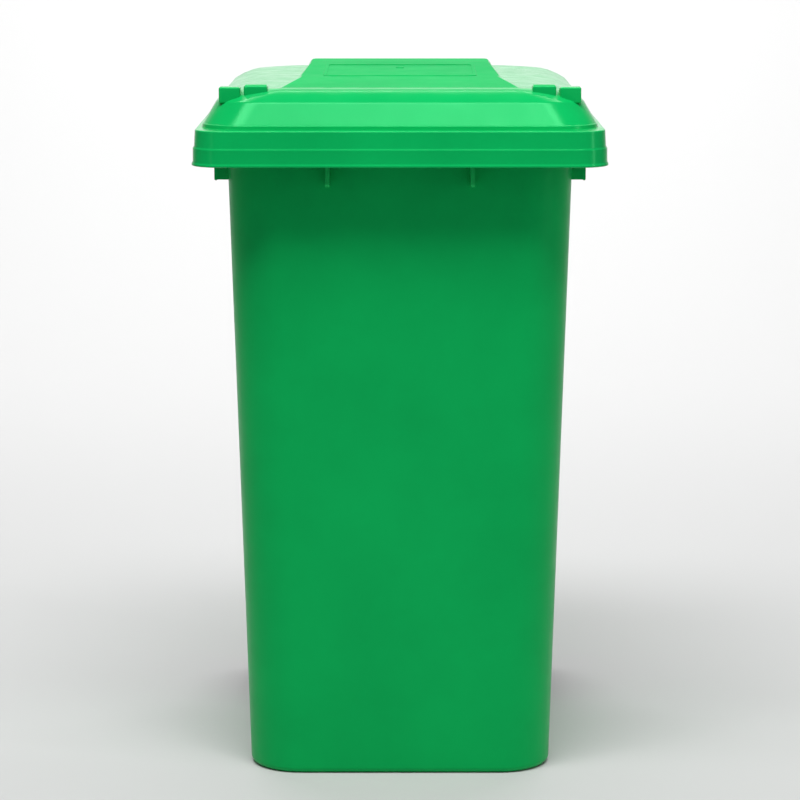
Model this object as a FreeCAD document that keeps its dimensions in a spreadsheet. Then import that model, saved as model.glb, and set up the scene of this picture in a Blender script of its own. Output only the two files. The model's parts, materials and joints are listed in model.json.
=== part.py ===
"""Two-wheeled refuse bin of the 240 litre class, built as the separate pieces it is assembled from.

The bin stands on the floor at z = 0 with its front towards -Y and its axle along X. The origin lies on
the floor under the middle of the overall box. Lengths are millimetres.
"""
import FreeCAD, Part
import math
import os
import types

import Sketcher

DIMENSIONS = [
    # overall
    ("lid_width", 580, "width over the lid skirt"),
    ("total_depth", 730, "from the lid's front to the back of the handle"),
    ("total_height", 1010, "floor to the top of the lid's hump"),
    # body
    ("wall", 4, "body wall"),
    ("floor_thickness", 9, "body floor"),
    ("side_overhang", 44, "lid edge beyond the body's top, each side"),
    ("front_overhang", 55, "lid edge beyond the body's top, in front"),
    ("side_taper", 26, "body side, base inwards of top"),
    ("front_taper", 35, "body front, base inwards of top"),
    ("rear_taper", 35, "body rear, base inwards of top"),
    ("body_corner", 75, "upright corner radius of the body"),
    ("foot_width", 30, "width of the foot ring under the floor"),
    ("foot_depth", 4, "depth of the hollow inside the foot ring"),
    # rim collar
    ("collar_drop", 72, "collar, from the rim's top to its lower edge"),
    ("collar_side_reach", 18, "collar beyond the body side"),
    ("collar_front_reach", 28, "collar beyond the body front, the comb pocket"),
    ("collar_rear_reach", 10, "collar beyond the body rear"),
    ("flange_thickness", 4, "flat rim flange"),
    ("rib_thickness", 6, "ribs under the rim"),
    ("comb_rib_spacing", 202, "between the two ribs that guide the lifting comb"),
    ("lip_cover", 5, "front lip's lower edge above the lid skirt's, so it stays hidden"),
    ("flange_gap", 4.5, "rim flange to the inside of the lid skirt, each side"),
    ("flange_front_gap", 1, "rim flange to the inside of the lid skirt, in front"),
    ("flange_corner", 65, "corner radius of the rim flange"),
    # handle and hinge
    ("handle_radius", 17, "handle grip"),
    ("handle_reach", 78, "hinge line behind the body's rear wall"),
    ("hinge_drop", 11, "hinge line below the rim's top"),
    ("bracket_thickness", 8, "handle and hinge brackets"),
    ("inner_bracket", 70, "inboard face of the inner hinge bracket"),
    ("arm_width", 32, "lid hinge arm along the hinge line"),
    ("arm_clearance", 1, "lid arm to bracket, each side"),
    ("grip_length", 102, "free length of each handle grip"),
    ("hinge_pin_radius", 6, "hinge pin shank"),
    ("pin_head_radius", 11, "hinge pin head"),
    ("pin_head_thickness", 4, "hinge pin head"),
    ("pin_clearance", 0.1, "lid arm bore round the pin"),
    # lid
    ("lid_wall", 4, "lid wall"),
    ("lid_rise", 66, "ledge to the top of the hump"),
    ("skirt_depth", 50, "lid skirt below the ledge"),
    ("skirt_step", 2.5, "lower half of the skirt stands proud"),
    ("lid_corner", 45, "corner radius of the skirt"),
    ("lid_rear_gap", 48, "lid's rear edge in front of the hinge line"),
    ("rear_cut_margin", 10, "open rear of the lid skirt beyond the handle, each side"),
    ("ledge_side", 7, "ledge width at the sides"),
    ("ledge_front", 25, "ledge width in front"),
    ("band_height", 36, "sloping band above the ledge"),
    ("band_slope", 20, "band leans inwards by this"),
    ("band_corner", 62, "corner radius of the band"),
    ("crown_height", 20, "crowned top above the band"),
    ("crown_step", 18, "first, steeper rise of the crowned top"),
    ("crown_side", 12, "that rise leans inwards at the sides and rear"),
    ("crown_front", 18, "and by this much more in front"),
    ("crown_lean", 30, "sides and rear of the crowned top above that rise"),
    ("crown_run", 150, "front of the crowned top above that rise"),
    ("hump_front", 358, "hump width at its front foot"),
    ("hump_top", 276, "hump width on top"),
    ("hump_lean", 6, "hump's sides lean inwards at its front foot"),
    ("hump_flare", 14, "hump's sides lean inwards behind its ramp"),
    ("hump_ramp", 400, "length of the hump's front ramp"),
    ("hump_back", 40, "length of the slope behind the hump"),
    ("outer_lug_height", 20, "outer lid grip lug above the band"),
    ("inner_lug_height", 22, "inner lid grip lug above the band"),
    ("outer_lug_width", 30, "outer lid grip lug along X"),
    ("inner_lug_width", 33, "inner lid grip lug along X"),
    ("lug_length", 28, "lid grip lugs along Y"),
    ("lug_gap", 5, "between the lugs, and outside them"),
    ("buffer_radius", 7, "lid buffer"),
    ("buffer_height", 3.8, "lid buffer above the flange"),
    ("buffer_gap", 0.2, "buffer to lid at rest"),
    ("buffer_spread", 400, "between the two buffers"),
    ("barb_height", 3, "barb under the flange"),
    ("barb_reach", 1, "barb beyond the buffer's stem"),
    # wheels
    ("wheel_radius", 100, "tyre outside"),
    ("wheel_spread", 422, "between the wheel centres"),
    ("tyre_width", 48, "tyre"),
    ("tyre_depth", 26, "tyre outside to rim"),
    ("rim_thickness", 6, "wheel rim and web"),
    ("hub_length", 50, "hub and bush"),
    ("hub_wall", 9, "hub wall round the bush"),
    ("bush_wall", 3, "plain bearing bush"),
    ("axle_radius", 10, "axle"),
    ("axle_clearance", 0.05, "bush bore round the axle"),
    ("end_gap", 0.3, "hub to spacer, and cap to axle parts"),
    ("wheel_clearance", 12, "tyre to the wheel recess"),
    ("recess_slope", 36, "sloped top corner of the wheel recess"),
    ("carrier_thickness", 8, "plates that hold the axle"),
    ("carrier_boss", 14, "plates beyond the axle"),
    ("inner_carrier", 60, "inboard face of the inner plate"),
    ("spacer_room", 13, "outer plate to the hub"),
    ("axle_setback", 3, "axle's end inside the hub's end"),
    ("window_radius", 8, "round windows in the wheel web"),
    ("cap_radius", 44, "hub cap outside"),
    ("cap_wall", 3, "hub cap"),
    ("cap_stand", 2, "hub cap beyond the hub end"),
    ("cap_bevel_width", 6, "bevel round the hub cap, across its face"),
    ("cap_bevel_depth", 4, "bevel round the hub cap, along the axle"),
    # sprung wheel lock
    ("lock_offset", 13, "lock pin outboard of the wheel centre"),
    ("lock_pin_radius", 2.2, "lock pin"),
    ("lock_collar_radius", 3.4, "collar on the lock pin"),
    ("groove_depth", 2, "axle groove under the lock pin"),
    ("groove_clearance", 0.6, "lock pin to the groove's sides"),
    ("lock_length", 10, "lock pin from its tip to its collar"),
    ("lock_collar_height", 2, "collar on the lock pin"),
    ("lock_spring_length", 12, "lock spring as fitted"),
    ("spring_wire", 0.7, "lock spring wire"),
    ("lock_clearance", 0.2, "round the lock pin and its collar"),
    # all pieces
    ("edge_chamfer", 1, "chamfers on the pins and the axle"),
    ("cut_margin", 1, "cuts start this far outside the solid"),
]
SIDES = (("left", -1), ("right", 1))
SHEET = "dims"
WINDOWS = 8
SPRING_TURNS = 6


class Size:
    """A length together with the sheet formula that gives it, so that one sum drives both."""

    def __init__(self, value, text):
        self.value = float(value)
        self.text = text

    def __add__(self, other):
        other = as_size(other)
        return Size(self.value + other.value, f"({self.text} + {other.text})")

    def __sub__(self, other):
        other = as_size(other)
        return Size(self.value - other.value, f"({self.text} - {other.text})")

    def __mul__(self, other):
        other = as_size(other)
        return Size(self.value * other.value, f"({self.text} * {other.text})")

    def __truediv__(self, other):
        other = as_size(other)
        return Size(self.value / other.value, f"({self.text} / {other.text})")

    def __neg__(self):
        return Size(-self.value, f"(0 - {self.text})")


def as_size(number):
    """Lets a plain number stand in a sum of sizes."""
    return number if isinstance(number, Size) else Size(number, repr(float(number)))


def make_sheet(doc):
    """The sheet of driving dimensions, and the same dimensions by name."""
    sheet = doc.addObject("Spreadsheet::Sheet", SHEET)
    for row, (alias, number, meaning) in enumerate(DIMENSIONS, start=1):
        sheet.set(f"A{row}", meaning)
        sheet.set(f"B{row}", str(number))
        sheet.setAlias(f"B{row}", alias)
    doc.recompute()
    return types.SimpleNamespace(**{
        alias: Size(number, f"{SHEET}.{alias}") for alias, number, _ in DIMENSIONS
    })


document = FreeCAD.newDocument("refuse_bin")
d = make_sheet(document)
zero = as_size(0)

# Heights, from the lid's top down.
ledge_top = d.total_height - d.lid_rise
ledge_under = ledge_top - d.lid_wall
skirt_bottom = ledge_top - d.skirt_depth
band_top = ledge_top + d.band_height
rim_top = ledge_under - d.buffer_height - d.buffer_gap
flange_under = rim_top - d.flange_thickness
collar_bottom = rim_top - d.collar_drop
hinge_z = rim_top - d.hinge_drop
axle_z = d.wheel_radius
recess_top = axle_z + d.wheel_radius + d.wheel_clearance
lip_bottom = skirt_bottom + d.lip_cover

# Places along Y.
lid_front = -d.total_depth / 2
hinge_y = d.total_depth / 2 - d.handle_radius
lid_rear = hinge_y - d.lid_rear_gap
body_front_top = lid_front + d.front_overhang
body_rear_top = hinge_y - d.handle_reach
body_front_base = body_front_top + d.front_taper
body_rear_base = body_rear_top - d.rear_taper
axle_y = body_rear_base
recess_front = axle_y - d.wheel_radius - d.wheel_clearance
side_collar_front = body_front_top + d.body_corner
buffer_y = lid_front + d.lid_wall + d.ledge_front / 2 + d.skirt_step

# Half widths.
lid_half = d.lid_width / 2
body_half_top = lid_half - d.side_overhang
body_half_base = body_half_top - d.side_taper

# Hinge line, from the middle outwards.
arm_inner = d.inner_bracket + d.bracket_thickness + d.arm_clearance
arm_outer = arm_inner + d.arm_width
outer_bracket = arm_outer + d.arm_clearance
grip_start = outer_bracket + d.bracket_thickness
grip_end = grip_start + d.grip_length

# Wheel, along the axle from its own middle outwards.
wheel_x = d.wheel_spread / 2
hub_end = d.hub_length / 2
bush_bore = d.axle_radius + d.axle_clearance
bush_radius = d.axle_radius + d.bush_wall
hub_radius = bush_radius + d.hub_wall
rim_outer = d.wheel_radius - d.tyre_depth
rim_inner = rim_outer - d.rim_thickness
web_half = d.rim_thickness / 2
cap_inside = hub_end + d.cap_stand
spacer_start = wheel_x - hub_end - d.spacer_room
outer_carrier = spacer_start - d.carrier_thickness
lock_tip = d.axle_radius - d.groove_depth + d.lock_clearance
lock_shoulder = lock_tip + d.lock_length
spring_start = lock_shoulder + d.lock_collar_height
lock_boss_top = spring_start + d.lock_spring_length + d.cap_wall
lock_boss_half = d.lock_collar_radius + d.cap_wall
buffer_stem = d.buffer_radius / 2


def new_body(label):
    """An empty body whose label names its piece."""
    body = document.addObject("PartDesign::Body", label)
    body.Label = label
    return body


def origin_feature(body, role):
    """One of the body's own origin planes or axes."""
    return next(item for item in body.Origin.OriginFeatures if item.Role == role)


def new_sketch(body, role, name, offset=zero):
    """A sketch on one of the body's origin planes, moved along the plane's normal."""
    sketch = body.newObject("Sketcher::SketchObject", name)
    sketch.AttachmentSupport = (origin_feature(body, role), "")
    sketch.MapMode = "FlatFace"
    sketch.setExpression("AttachmentOffset.Base.z", offset.text)
    return sketch


def hold(sketch, kind, place, size):
    """Ties a sketch point's X or Y to a size, measured from the sketch's origin."""
    geometry, point = place
    if size.value == 0:
        axis = -2 if kind == "DistanceX" else -1
        sketch.addConstraint(Sketcher.Constraint("PointOnObject", geometry, point, axis))
        return
    if size.value > 0:
        index = sketch.addConstraint(
            Sketcher.Constraint(kind, -1, 1, geometry, point, size.value)
        )
        sketch.setExpression(f"Constraints[{index}]", size.text)
        return
    index = sketch.addConstraint(
        Sketcher.Constraint(kind, geometry, point, -1, 1, -size.value)
    )
    sketch.setExpression(f"Constraints[{index}]", (-size).text)


def tie(sketch, constraint, size):
    """Adds a dimension to a sketch and ties it to a size."""
    index = sketch.addConstraint(constraint)
    sketch.setExpression(f"Constraints[{index}]", size.text)


def draw_polygon(sketch, points):
    """A closed outline through points, each a pair of sizes."""
    first = sketch.GeometryCount
    corners = [FreeCAD.Vector(x.value, y.value, 0) for x, y in points]
    count = len(corners)
    for i, corner in enumerate(corners):
        sketch.addGeometry(Part.LineSegment(corner, corners[(i + 1) % count]), False)
    for i, (x, y) in enumerate(points):
        following = first + (i + 1) % count
        sketch.addConstraint(Sketcher.Constraint("Coincident", first + i, 2, following, 1))
        hold(sketch, "DistanceX", (first + i, 1), x)
        hold(sketch, "DistanceY", (first + i, 1), y)


def draw_box(sketch, low_x, high_x, low_y, high_y):
    """A plain rectangle."""
    draw_polygon(sketch, [(low_x, low_y), (high_x, low_y), (high_x, high_y), (low_x, high_y)])


def draw_circle(sketch, x, y, radius):
    """A circle."""
    centre = FreeCAD.Vector(x.value, y.value, 0)
    circle = Part.Circle(centre, FreeCAD.Vector(0, 0, 1), radius.value)
    index = sketch.addGeometry(circle, False)
    tie(sketch, Sketcher.Constraint("Radius", index, radius.value), radius)
    hold(sketch, "DistanceX", (index, 3), x)
    hold(sketch, "DistanceY", (index, 3), y)


def draw_rounded_box(sketch, half_width, front, rear, radius):
    """A rectangle with round corners, even about X = 0."""
    first = sketch.GeometryCount
    w, f, b, r = half_width.value, front.value, rear.value, radius.value
    sides = [((r - w, f), (w - r, f)), ((w, f + r), (w, b - r)),
             ((w - r, b), (r - w, b)), ((-w, b - r), (-w, f + r))]
    centres = [(w - r, f + r), (w - r, b - r), (r - w, b - r), (r - w, f + r)]
    for start, end in sides:
        sketch.addGeometry(Part.LineSegment(FreeCAD.Vector(*start, 0), FreeCAD.Vector(*end, 0)), False)
    for quarter, centre in enumerate(centres):
        circle = Part.Circle(FreeCAD.Vector(*centre, 0), FreeCAD.Vector(0, 0, 1), r)
        finish = math.pi / 2 * quarter
        sketch.addGeometry(Part.ArcOfCircle(circle, finish - math.pi / 2, finish), False)
    for i in range(4):
        arc = first + 4 + i
        sketch.addConstraint(Sketcher.Constraint("Tangent", first + i, 2, arc, 1))
        sketch.addConstraint(Sketcher.Constraint("Tangent", arc, 2, first + (i + 1) % 4, 1))
        flat = "Horizontal" if i % 2 == 0 else "Vertical"
        sketch.addConstraint(Sketcher.Constraint(flat, first + i))
        if i:
            sketch.addConstraint(Sketcher.Constraint("Equal", first + 4, arc))
    tie(sketch, Sketcher.Constraint("Radius", first + 4, r), radius)
    hold(sketch, "DistanceY", (first, 1), front)
    hold(sketch, "DistanceX", (first + 1, 1), half_width)
    hold(sketch, "DistanceY", (first + 2, 1), rear)
    hold(sketch, "DistanceX", (first + 3, 1), -half_width)


def pad(body, sketch, length, name):
    """Raises a sketch along its normal."""
    feature = body.newObject("PartDesign::Pad", name)
    feature.Profile = sketch
    feature.setExpression("Length", length.text)
    document.recompute()
    return feature


def pocket(body, sketch, length, name):
    """Cuts a sketch along its normal, and makes sure that it cuts something."""
    before = body.Shape.Volume
    feature = body.newObject("PartDesign::Pocket", name)
    feature.Profile = sketch
    feature.Reversed = True
    feature.setExpression("Length", length.text)
    document.recompute()
    if body.Shape.Volume >= before:
        raise RuntimeError(f"{name} cuts nothing")
    return feature


def loft(body, sketches, name, cut=False):
    """A straight-sided loft through sketches, added or cut."""
    kind = "PartDesign::SubtractiveLoft" if cut else "PartDesign::AdditiveLoft"
    before = body.Shape.Volume if cut else 0
    feature = body.newObject(kind, name)
    feature.Profile = sketches[0]
    feature.Sections = sketches[1:]
    feature.Ruled = True
    document.recompute()
    if cut and body.Shape.Volume >= before:
        raise RuntimeError(f"{name} cuts nothing")
    return feature


def revolve(body, points, name):
    """Turns a closed outline of (along the axle, radius) pairs about the X axis."""
    sketch = new_sketch(body, "XY_Plane", f"{name}_outline")
    draw_polygon(sketch, points)
    feature = body.newObject("PartDesign::Revolution", name)
    feature.Profile = sketch
    feature.ReferenceAxis = (sketch, ["H_Axis"])
    feature.Angle = 360
    document.recompute()
    return feature


def fillet(body, feature, radius, chosen, name):
    """Rounds the edges of a feature that a test picks."""
    names = [f"Edge{i}" for i, edge in enumerate(feature.Shape.Edges, start=1) if chosen(edge)]
    rounding = body.newObject("PartDesign::Fillet", name)
    rounding.Base = (feature, names)
    rounding.setExpression("Radius", radius.text)
    document.recompute()
    return rounding


def span(sign, inner, outer):
    """The lower and upper X of a stretch from inner to outer on one side of the middle."""
    return (inner, outer) if sign > 0 else (-outer, -inner)


def place(body, x, y, z, turned=False):
    """Puts a body at a point, turned half round about the upright where it is a left-hand piece."""
    angle = 180 if turned else 0
    body.Placement = FreeCAD.Placement(
        FreeCAD.Vector(x.value, y.value, z.value), FreeCAD.Rotation(FreeCAD.Vector(0, 0, 1), angle)
    )
    for axis, size in (("x", x), ("y", y), ("z", z)):
        body.setExpression(f"Placement.Base.{axis}", size.text)


def body_section(body, name, level, inset, rear=None):
    """The tapering body's outline at a height, inset by a wall."""
    share = level / rim_top
    half = body_half_base + (body_half_top - body_half_base) * share - inset
    front = body_front_base + (body_front_top - body_front_base) * share + inset
    back = rear or body_rear_base + (body_rear_top - body_rear_base) * share - inset
    sketch = new_sketch(body, "XY_Plane", name, level)
    draw_rounded_box(sketch, half, front, back, d.body_corner - inset)
    return sketch


def collar_outline(sketch, inset):
    """The rim collar's outline, inset by a wall."""
    draw_rounded_box(
        sketch,
        body_half_top + d.collar_side_reach - inset,
        body_front_top - d.collar_front_reach + inset,
        body_rear_top + d.collar_rear_reach - inset,
        d.body_corner + d.collar_rear_reach - inset,
    )


def add_collar(body):
    """The rim's collar, solid at first: deep along the sides and rear, a short lip in front."""
    collar = new_sketch(body, "XY_Plane", "collar_outline", collar_bottom)
    collar_outline(collar, zero)
    pad(body, collar, flange_under - collar_bottom, "collar")
    opening = new_sketch(body, "YZ_Plane", "comb_opening_outline", -lid_half)
    draw_box(opening, lid_front, side_collar_front, collar_bottom - d.cut_margin, lip_bottom)
    pocket(body, opening, d.lid_width, "comb_opening")


def cut_wheel_recess(body):
    """Clears the lower rear of the body for the wheels."""
    sketch = new_sketch(body, "YZ_Plane", "wheel_recess_outline", -lid_half)
    behind = body_rear_top + d.wheel_radius
    draw_polygon(sketch, [
        (recess_front, -d.wall),
        (behind, -d.wall),
        (behind, recess_top),
        (recess_front + d.recess_slope, recess_top),
        (recess_front, recess_top - d.recess_slope),
    ])
    pocket(body, sketch, d.lid_width, "wheel_recess")


def add_flange(body):
    """The flat rim flange, and the hollow under it inside the collar."""
    flange = new_sketch(body, "XY_Plane", "flange_outline", flange_under)
    skirt_wall = d.skirt_step * 2 + d.lid_wall
    draw_rounded_box(
        flange,
        lid_half - skirt_wall - d.flange_gap,
        lid_front + skirt_wall + d.flange_front_gap,
        body_rear_top + d.collar_rear_reach,
        d.flange_corner,
    )
    pad(body, flange, d.flange_thickness, "flange")
    hollow = new_sketch(body, "XY_Plane", "collar_hollow_outline", collar_bottom)
    collar_outline(hollow, d.wall)
    draw_rounded_box(hollow, body_half_top, body_front_top, body_rear_top, d.body_corner)
    pocket(body, hollow, flange_under - collar_bottom, "collar_hollow")


def add_ribs(body):
    """Ribs under the rim: two in front that guide the lifting comb, three in each side's collar."""
    half = d.rib_thickness / 2
    depth = flange_under - collar_bottom
    comb_ribs = new_sketch(body, "XY_Plane", "comb_ribs_outline", collar_bottom)
    front = body_front_top - d.collar_front_reach + d.wall / 2
    for sign in (-1, 1):
        middle = d.comb_rib_spacing / 2 * sign
        draw_box(comb_ribs, middle - half, middle + half, front, body_front_top + d.wall)
    pad(body, comb_ribs, depth, "comb_ribs")
    side_ribs = new_sketch(body, "XY_Plane", "side_ribs_outline", collar_bottom)
    outside = body_half_top + d.collar_side_reach - d.wall / 2
    inside = body_half_top - d.wall / 2
    first = side_collar_front + half
    last = body_rear_top - d.body_corner
    for sign in (-1, 1):
        for middle in (first, (first + last) / 2, last):
            draw_box(side_ribs, *span(sign, inside, outside), middle - half, middle + half)
    pad(body, side_ribs, depth, "side_ribs")


def hollow_body(body):
    """The inside of the body, narrower below where the wheels need room."""
    upper_floor = recess_top + d.wall
    upper = [
        body_section(body, "cavity_low", upper_floor, d.wall),
        body_section(body, "cavity_high", rim_top, d.wall),
    ]
    loft(body, upper, "cavity", cut=True)
    well_rear = recess_front - d.wall
    well = [
        body_section(body, "well_low", d.floor_thickness, d.wall, well_rear),
        body_section(body, "well_high", upper_floor + d.cut_margin, d.wall, well_rear),
    ]
    loft(body, well, "well", cut=True)
    foot = new_sketch(body, "XY_Plane", "foot_hollow_outline", zero)
    draw_rounded_box(
        foot,
        body_half_base - d.foot_width,
        body_front_base + d.foot_width,
        recess_front - d.foot_width,
        d.body_corner - d.foot_width,
    )
    pocket(body, foot, d.foot_depth, "foot_hollow")


def add_handle(body):
    """Brackets behind the rim that carry the two grips and the lid's hinge pins."""
    spans = (
        ("inner", d.inner_bracket, body_rear_top - d.wall / 2),
        ("middle", outer_bracket, body_rear_top - d.wall / 2),
        ("outer", grip_end, body_rear_top - d.body_corner / 2),
    )
    for side, sign in SIDES:
        for name, inner, root in spans:
            start = span(sign, inner, inner + d.bracket_thickness)[0]
            web = new_sketch(body, "YZ_Plane", f"{name}_bracket_{side}_outline", start)
            draw_polygon(web, [
                (root, collar_bottom + d.wall),
                (hinge_y, hinge_z - d.handle_radius),
                (hinge_y, hinge_z + d.hinge_drop),
                (root, flange_under - d.wall / 2),
            ])
            pad(body, web, d.bracket_thickness, f"{name}_bracket_{side}")
            eye = new_sketch(body, "YZ_Plane", f"{name}_eye_{side}_outline", start)
            draw_circle(eye, hinge_y, hinge_z, d.handle_radius)
            pad(body, eye, d.bracket_thickness, f"{name}_eye_{side}")
        grip = new_sketch(body, "YZ_Plane", f"grip_{side}_outline", span(sign, grip_start, grip_end)[0])
        draw_circle(grip, hinge_y, hinge_z, d.handle_radius)
        pad(body, grip, d.grip_length, f"grip_{side}")
        bore_end = grip_start - d.wall / 2
        bore = new_sketch(
            body, "YZ_Plane", f"pin_seat_{side}_outline", span(sign, d.inner_bracket, bore_end)[0]
        )
        draw_circle(bore, hinge_y, hinge_z, d.hinge_pin_radius)
        pocket(body, bore, bore_end - d.inner_bracket, f"pin_seat_{side}")


def add_axle_carriers(body):
    """Plates under the wheel recess that hold the axle."""
    boss = d.axle_radius + d.carrier_boss
    for side, sign in SIDES:
        for name, inner in (("outer", outer_carrier), ("inner", d.inner_carrier)):
            start = span(sign, inner, inner + d.carrier_thickness)[0]
            plate = new_sketch(body, "YZ_Plane", f"{name}_carrier_{side}_outline", start)
            draw_polygon(plate, [
                (recess_front - d.wall / 2, recess_top + d.wall / 2),
                (recess_front - d.wall / 2, axle_z - boss),
                (axle_y, axle_z - boss),
                (axle_y + boss, axle_z),
                (axle_y + d.wall, recess_top + d.wall / 2),
            ])
            pad(body, plate, d.carrier_thickness, f"{name}_carrier_{side}")
    bore = new_sketch(body, "YZ_Plane", "axle_seat_outline", -spacer_start)
    draw_circle(bore, axle_y, axle_z, d.axle_radius)
    pocket(body, bore, spacer_start * 2, "axle_seat")


def make_bin_body():
    """The moulded body: tapered tub, rim, ribs, handle brackets, axle carriers."""
    body = new_body("bin_body")
    add_collar(body)
    outside = [
        body_section(body, "base_outline", zero, zero),
        body_section(body, "top_outline", rim_top, zero),
    ]
    loft(body, outside, "tub")
    cut_wheel_recess(body)
    add_flange(body)
    add_ribs(body)
    add_handle(body)
    hollow_body(body)
    add_axle_carriers(body)
    for sign, side in ((-1, "left"), (1, "right")):
        seat = new_sketch(body, "XY_Plane", f"buffer_seat_{side}_outline", flange_under)
        draw_circle(seat, d.buffer_spread / 2 * sign, buffer_y, buffer_stem)
        pocket(body, seat, d.flange_thickness, f"buffer_seat_{side}")
    return body


def lid_section(body, name, level, half, front, rear, corner, inset=zero):
    """A round-cornered outline of the lid at a height."""
    sketch = new_sketch(body, "XY_Plane", name, level)
    draw_rounded_box(sketch, half - inset, front + inset, rear - inset, corner - inset)
    return sketch


def lid_tiers(body, prefix, drop, inset):
    """Outlines of the lid's band and crowned top, lowered and inset for its inside."""
    band_half = lid_half - d.skirt_step * 2 - d.ledge_side
    band_front = lid_front + d.skirt_step * 2 + d.ledge_front
    band_rear = lid_rear - d.ledge_side
    shoulder = d.band_slope + d.crown_side
    tiers = [
        (ledge_top, zero, zero),
        (band_top, d.band_slope, d.band_slope),
        (band_top + d.crown_step, shoulder, shoulder + d.crown_front),
        (band_top + d.crown_height, shoulder + d.crown_lean, shoulder + d.crown_run),
    ]
    return [
        lid_section(
            body, f"{prefix}_{i}", level - drop, band_half - lean, band_front + front_lean,
            band_rear - lean, d.band_corner, inset,
        )
        for i, (level, lean, front_lean) in enumerate(tiers)
    ]


def hump_sections(body, prefix, inset):
    """Upright outlines of the hump from its front foot to its rear foot."""
    foot = band_top
    top = d.total_height - inset
    wide = d.hump_front / 2 - inset
    narrow = d.hump_top / 2 - inset
    low = band_top + d.crown_step - inset
    band_front = lid_front + d.skirt_step * 2 + d.ledge_front
    front = band_front + d.band_slope + d.crown_side + d.crown_front + inset
    rear = lid_rear - d.band_slope - d.crown_height - inset
    foot_half = narrow + d.hump_flare
    stations = [
        (front, wide, wide - d.hump_lean, low),
        (front + d.hump_ramp, foot_half, narrow, top),
        (rear - d.hump_back, foot_half, narrow, top),
        (rear, foot_half, narrow, low),
    ]
    sketches = []
    for i, (y, base, crest, height) in enumerate(stations):
        sketch = new_sketch(body, "XZ_Plane", f"{prefix}_{i}", -y)
        draw_polygon(sketch, [(-base, foot), (base, foot), (crest, height), (-crest, height)])
        sketches.append(sketch)
    return sketches


def add_lid_arms(body):
    """Two arms behind the lid with the bores that turn on the hinge pins."""
    root = lid_rear - d.ledge_side - d.band_slope
    for side, sign in SIDES:
        start = span(sign, arm_inner, arm_outer)[0]
        arm = new_sketch(body, "YZ_Plane", f"arm_{side}_outline", start)
        draw_polygon(arm, [
            (root, ledge_under),
            (hinge_y - d.handle_radius, hinge_z),
            (hinge_y, hinge_z + d.handle_radius),
            (root, band_top - d.lid_wall),
        ])
        pad(body, arm, d.arm_width, f"arm_{side}")
        eye = new_sketch(body, "YZ_Plane", f"arm_eye_{side}_outline", start)
        draw_circle(eye, hinge_y, hinge_z, d.handle_radius)
        pad(body, eye, d.arm_width, f"arm_eye_{side}")
        bore = new_sketch(body, "YZ_Plane", f"arm_bore_{side}_outline", start)
        draw_circle(bore, hinge_y, hinge_z, d.hinge_pin_radius + d.pin_clearance)
        pocket(body, bore, d.arm_width, f"arm_bore_{side}")


def add_grip_lugs(body):
    """Moulded lugs on the lid's front corners that the fingers catch."""
    edge = lid_half - d.skirt_step * 2 - d.ledge_side - d.band_slope
    front = lid_front + d.ledge_front + d.band_slope + d.skirt_step * 2 + d.lid_wall
    setback = front + d.band_corner / 3
    outer_end = edge - d.lug_gap
    inner_end = outer_end - d.outer_lug_width - d.lug_gap
    for name, end, width, height in (
        ("outer", outer_end, d.outer_lug_width, d.outer_lug_height),
        ("inner", inner_end, d.inner_lug_width, d.inner_lug_height),
    ):
        sketch = new_sketch(body, "XY_Plane", f"{name}_lugs_outline", band_top - d.lid_wall)
        for sign in (-1, 1):
            draw_box(sketch, *span(sign, end - width, end), setback, setback + d.lug_length)
        pad(body, sketch, height + d.lid_wall, f"{name}_lugs")


def make_lid():
    """The hinged lid: stepped skirt, ledge, sloping band, crowned top with a hump, hinge arms."""
    body = new_body("lid")
    middle = skirt_bottom + d.skirt_depth / 2
    step = d.skirt_step
    skirt_tiers = [
        ("lower", skirt_bottom, middle, zero, zero),
        ("upper", middle, ledge_top, step, step * 2),
    ]
    for name, low, high, low_inset, high_inset in skirt_tiers:
        outline = (lid_half, lid_front, lid_rear, d.lid_corner)
        loft(body, [
            lid_section(body, f"{name}_skirt_foot", low, *outline, low_inset),
            lid_section(body, f"{name}_skirt_head", high, *outline, high_inset),
        ], f"{name}_skirt")
    loft(body, lid_tiers(body, "crown", zero, zero), "crown")
    loft(body, hump_sections(body, "hump", zero), "hump")
    add_grip_lugs(body)
    hollow = lid_section(
        body, "skirt_hollow_outline", skirt_bottom, lid_half, lid_front, lid_rear, d.lid_corner,
        step * 2 + d.lid_wall,
    )
    pocket(body, hollow, ledge_under - skirt_bottom, "skirt_hollow")
    loft(body, lid_tiers(body, "crown_hollow", d.lid_wall, d.lid_wall), "crown_hollow", cut=True)
    loft(body, hump_sections(body, "hump_hollow", d.lid_wall), "hump_hollow", cut=True)
    rear_cut = new_sketch(body, "XY_Plane", "rear_cut_outline", skirt_bottom)
    cut_half = grip_end + d.bracket_thickness + d.rear_cut_margin
    draw_box(rear_cut, -cut_half, cut_half, lid_rear - d.lid_wall * 4, lid_rear + d.lid_wall)
    pocket(body, rear_cut, ledge_under - skirt_bottom, "rear_cut")
    add_lid_arms(body)
    return body


def make_hinge_pin(side, sign):
    """A headed pin, pushed in from the middle."""
    body = new_body(f"hinge_pin_{side}")
    tip = grip_start - d.wall / 2 - d.inner_bracket
    radius, chamfer = d.hinge_pin_radius, d.edge_chamfer
    revolve(body, [
        (-d.pin_head_thickness, zero),
        (tip, zero),
        (tip, radius - chamfer),
        (tip - chamfer, radius),
        (zero, radius),
        (zero, d.pin_head_radius),
        (chamfer - d.pin_head_thickness, d.pin_head_radius),
        (-d.pin_head_thickness, d.pin_head_radius - chamfer),
    ], "pin")
    place(body, d.inner_bracket * sign, hinge_y, hinge_z, turned=sign < 0)
    return body


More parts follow.
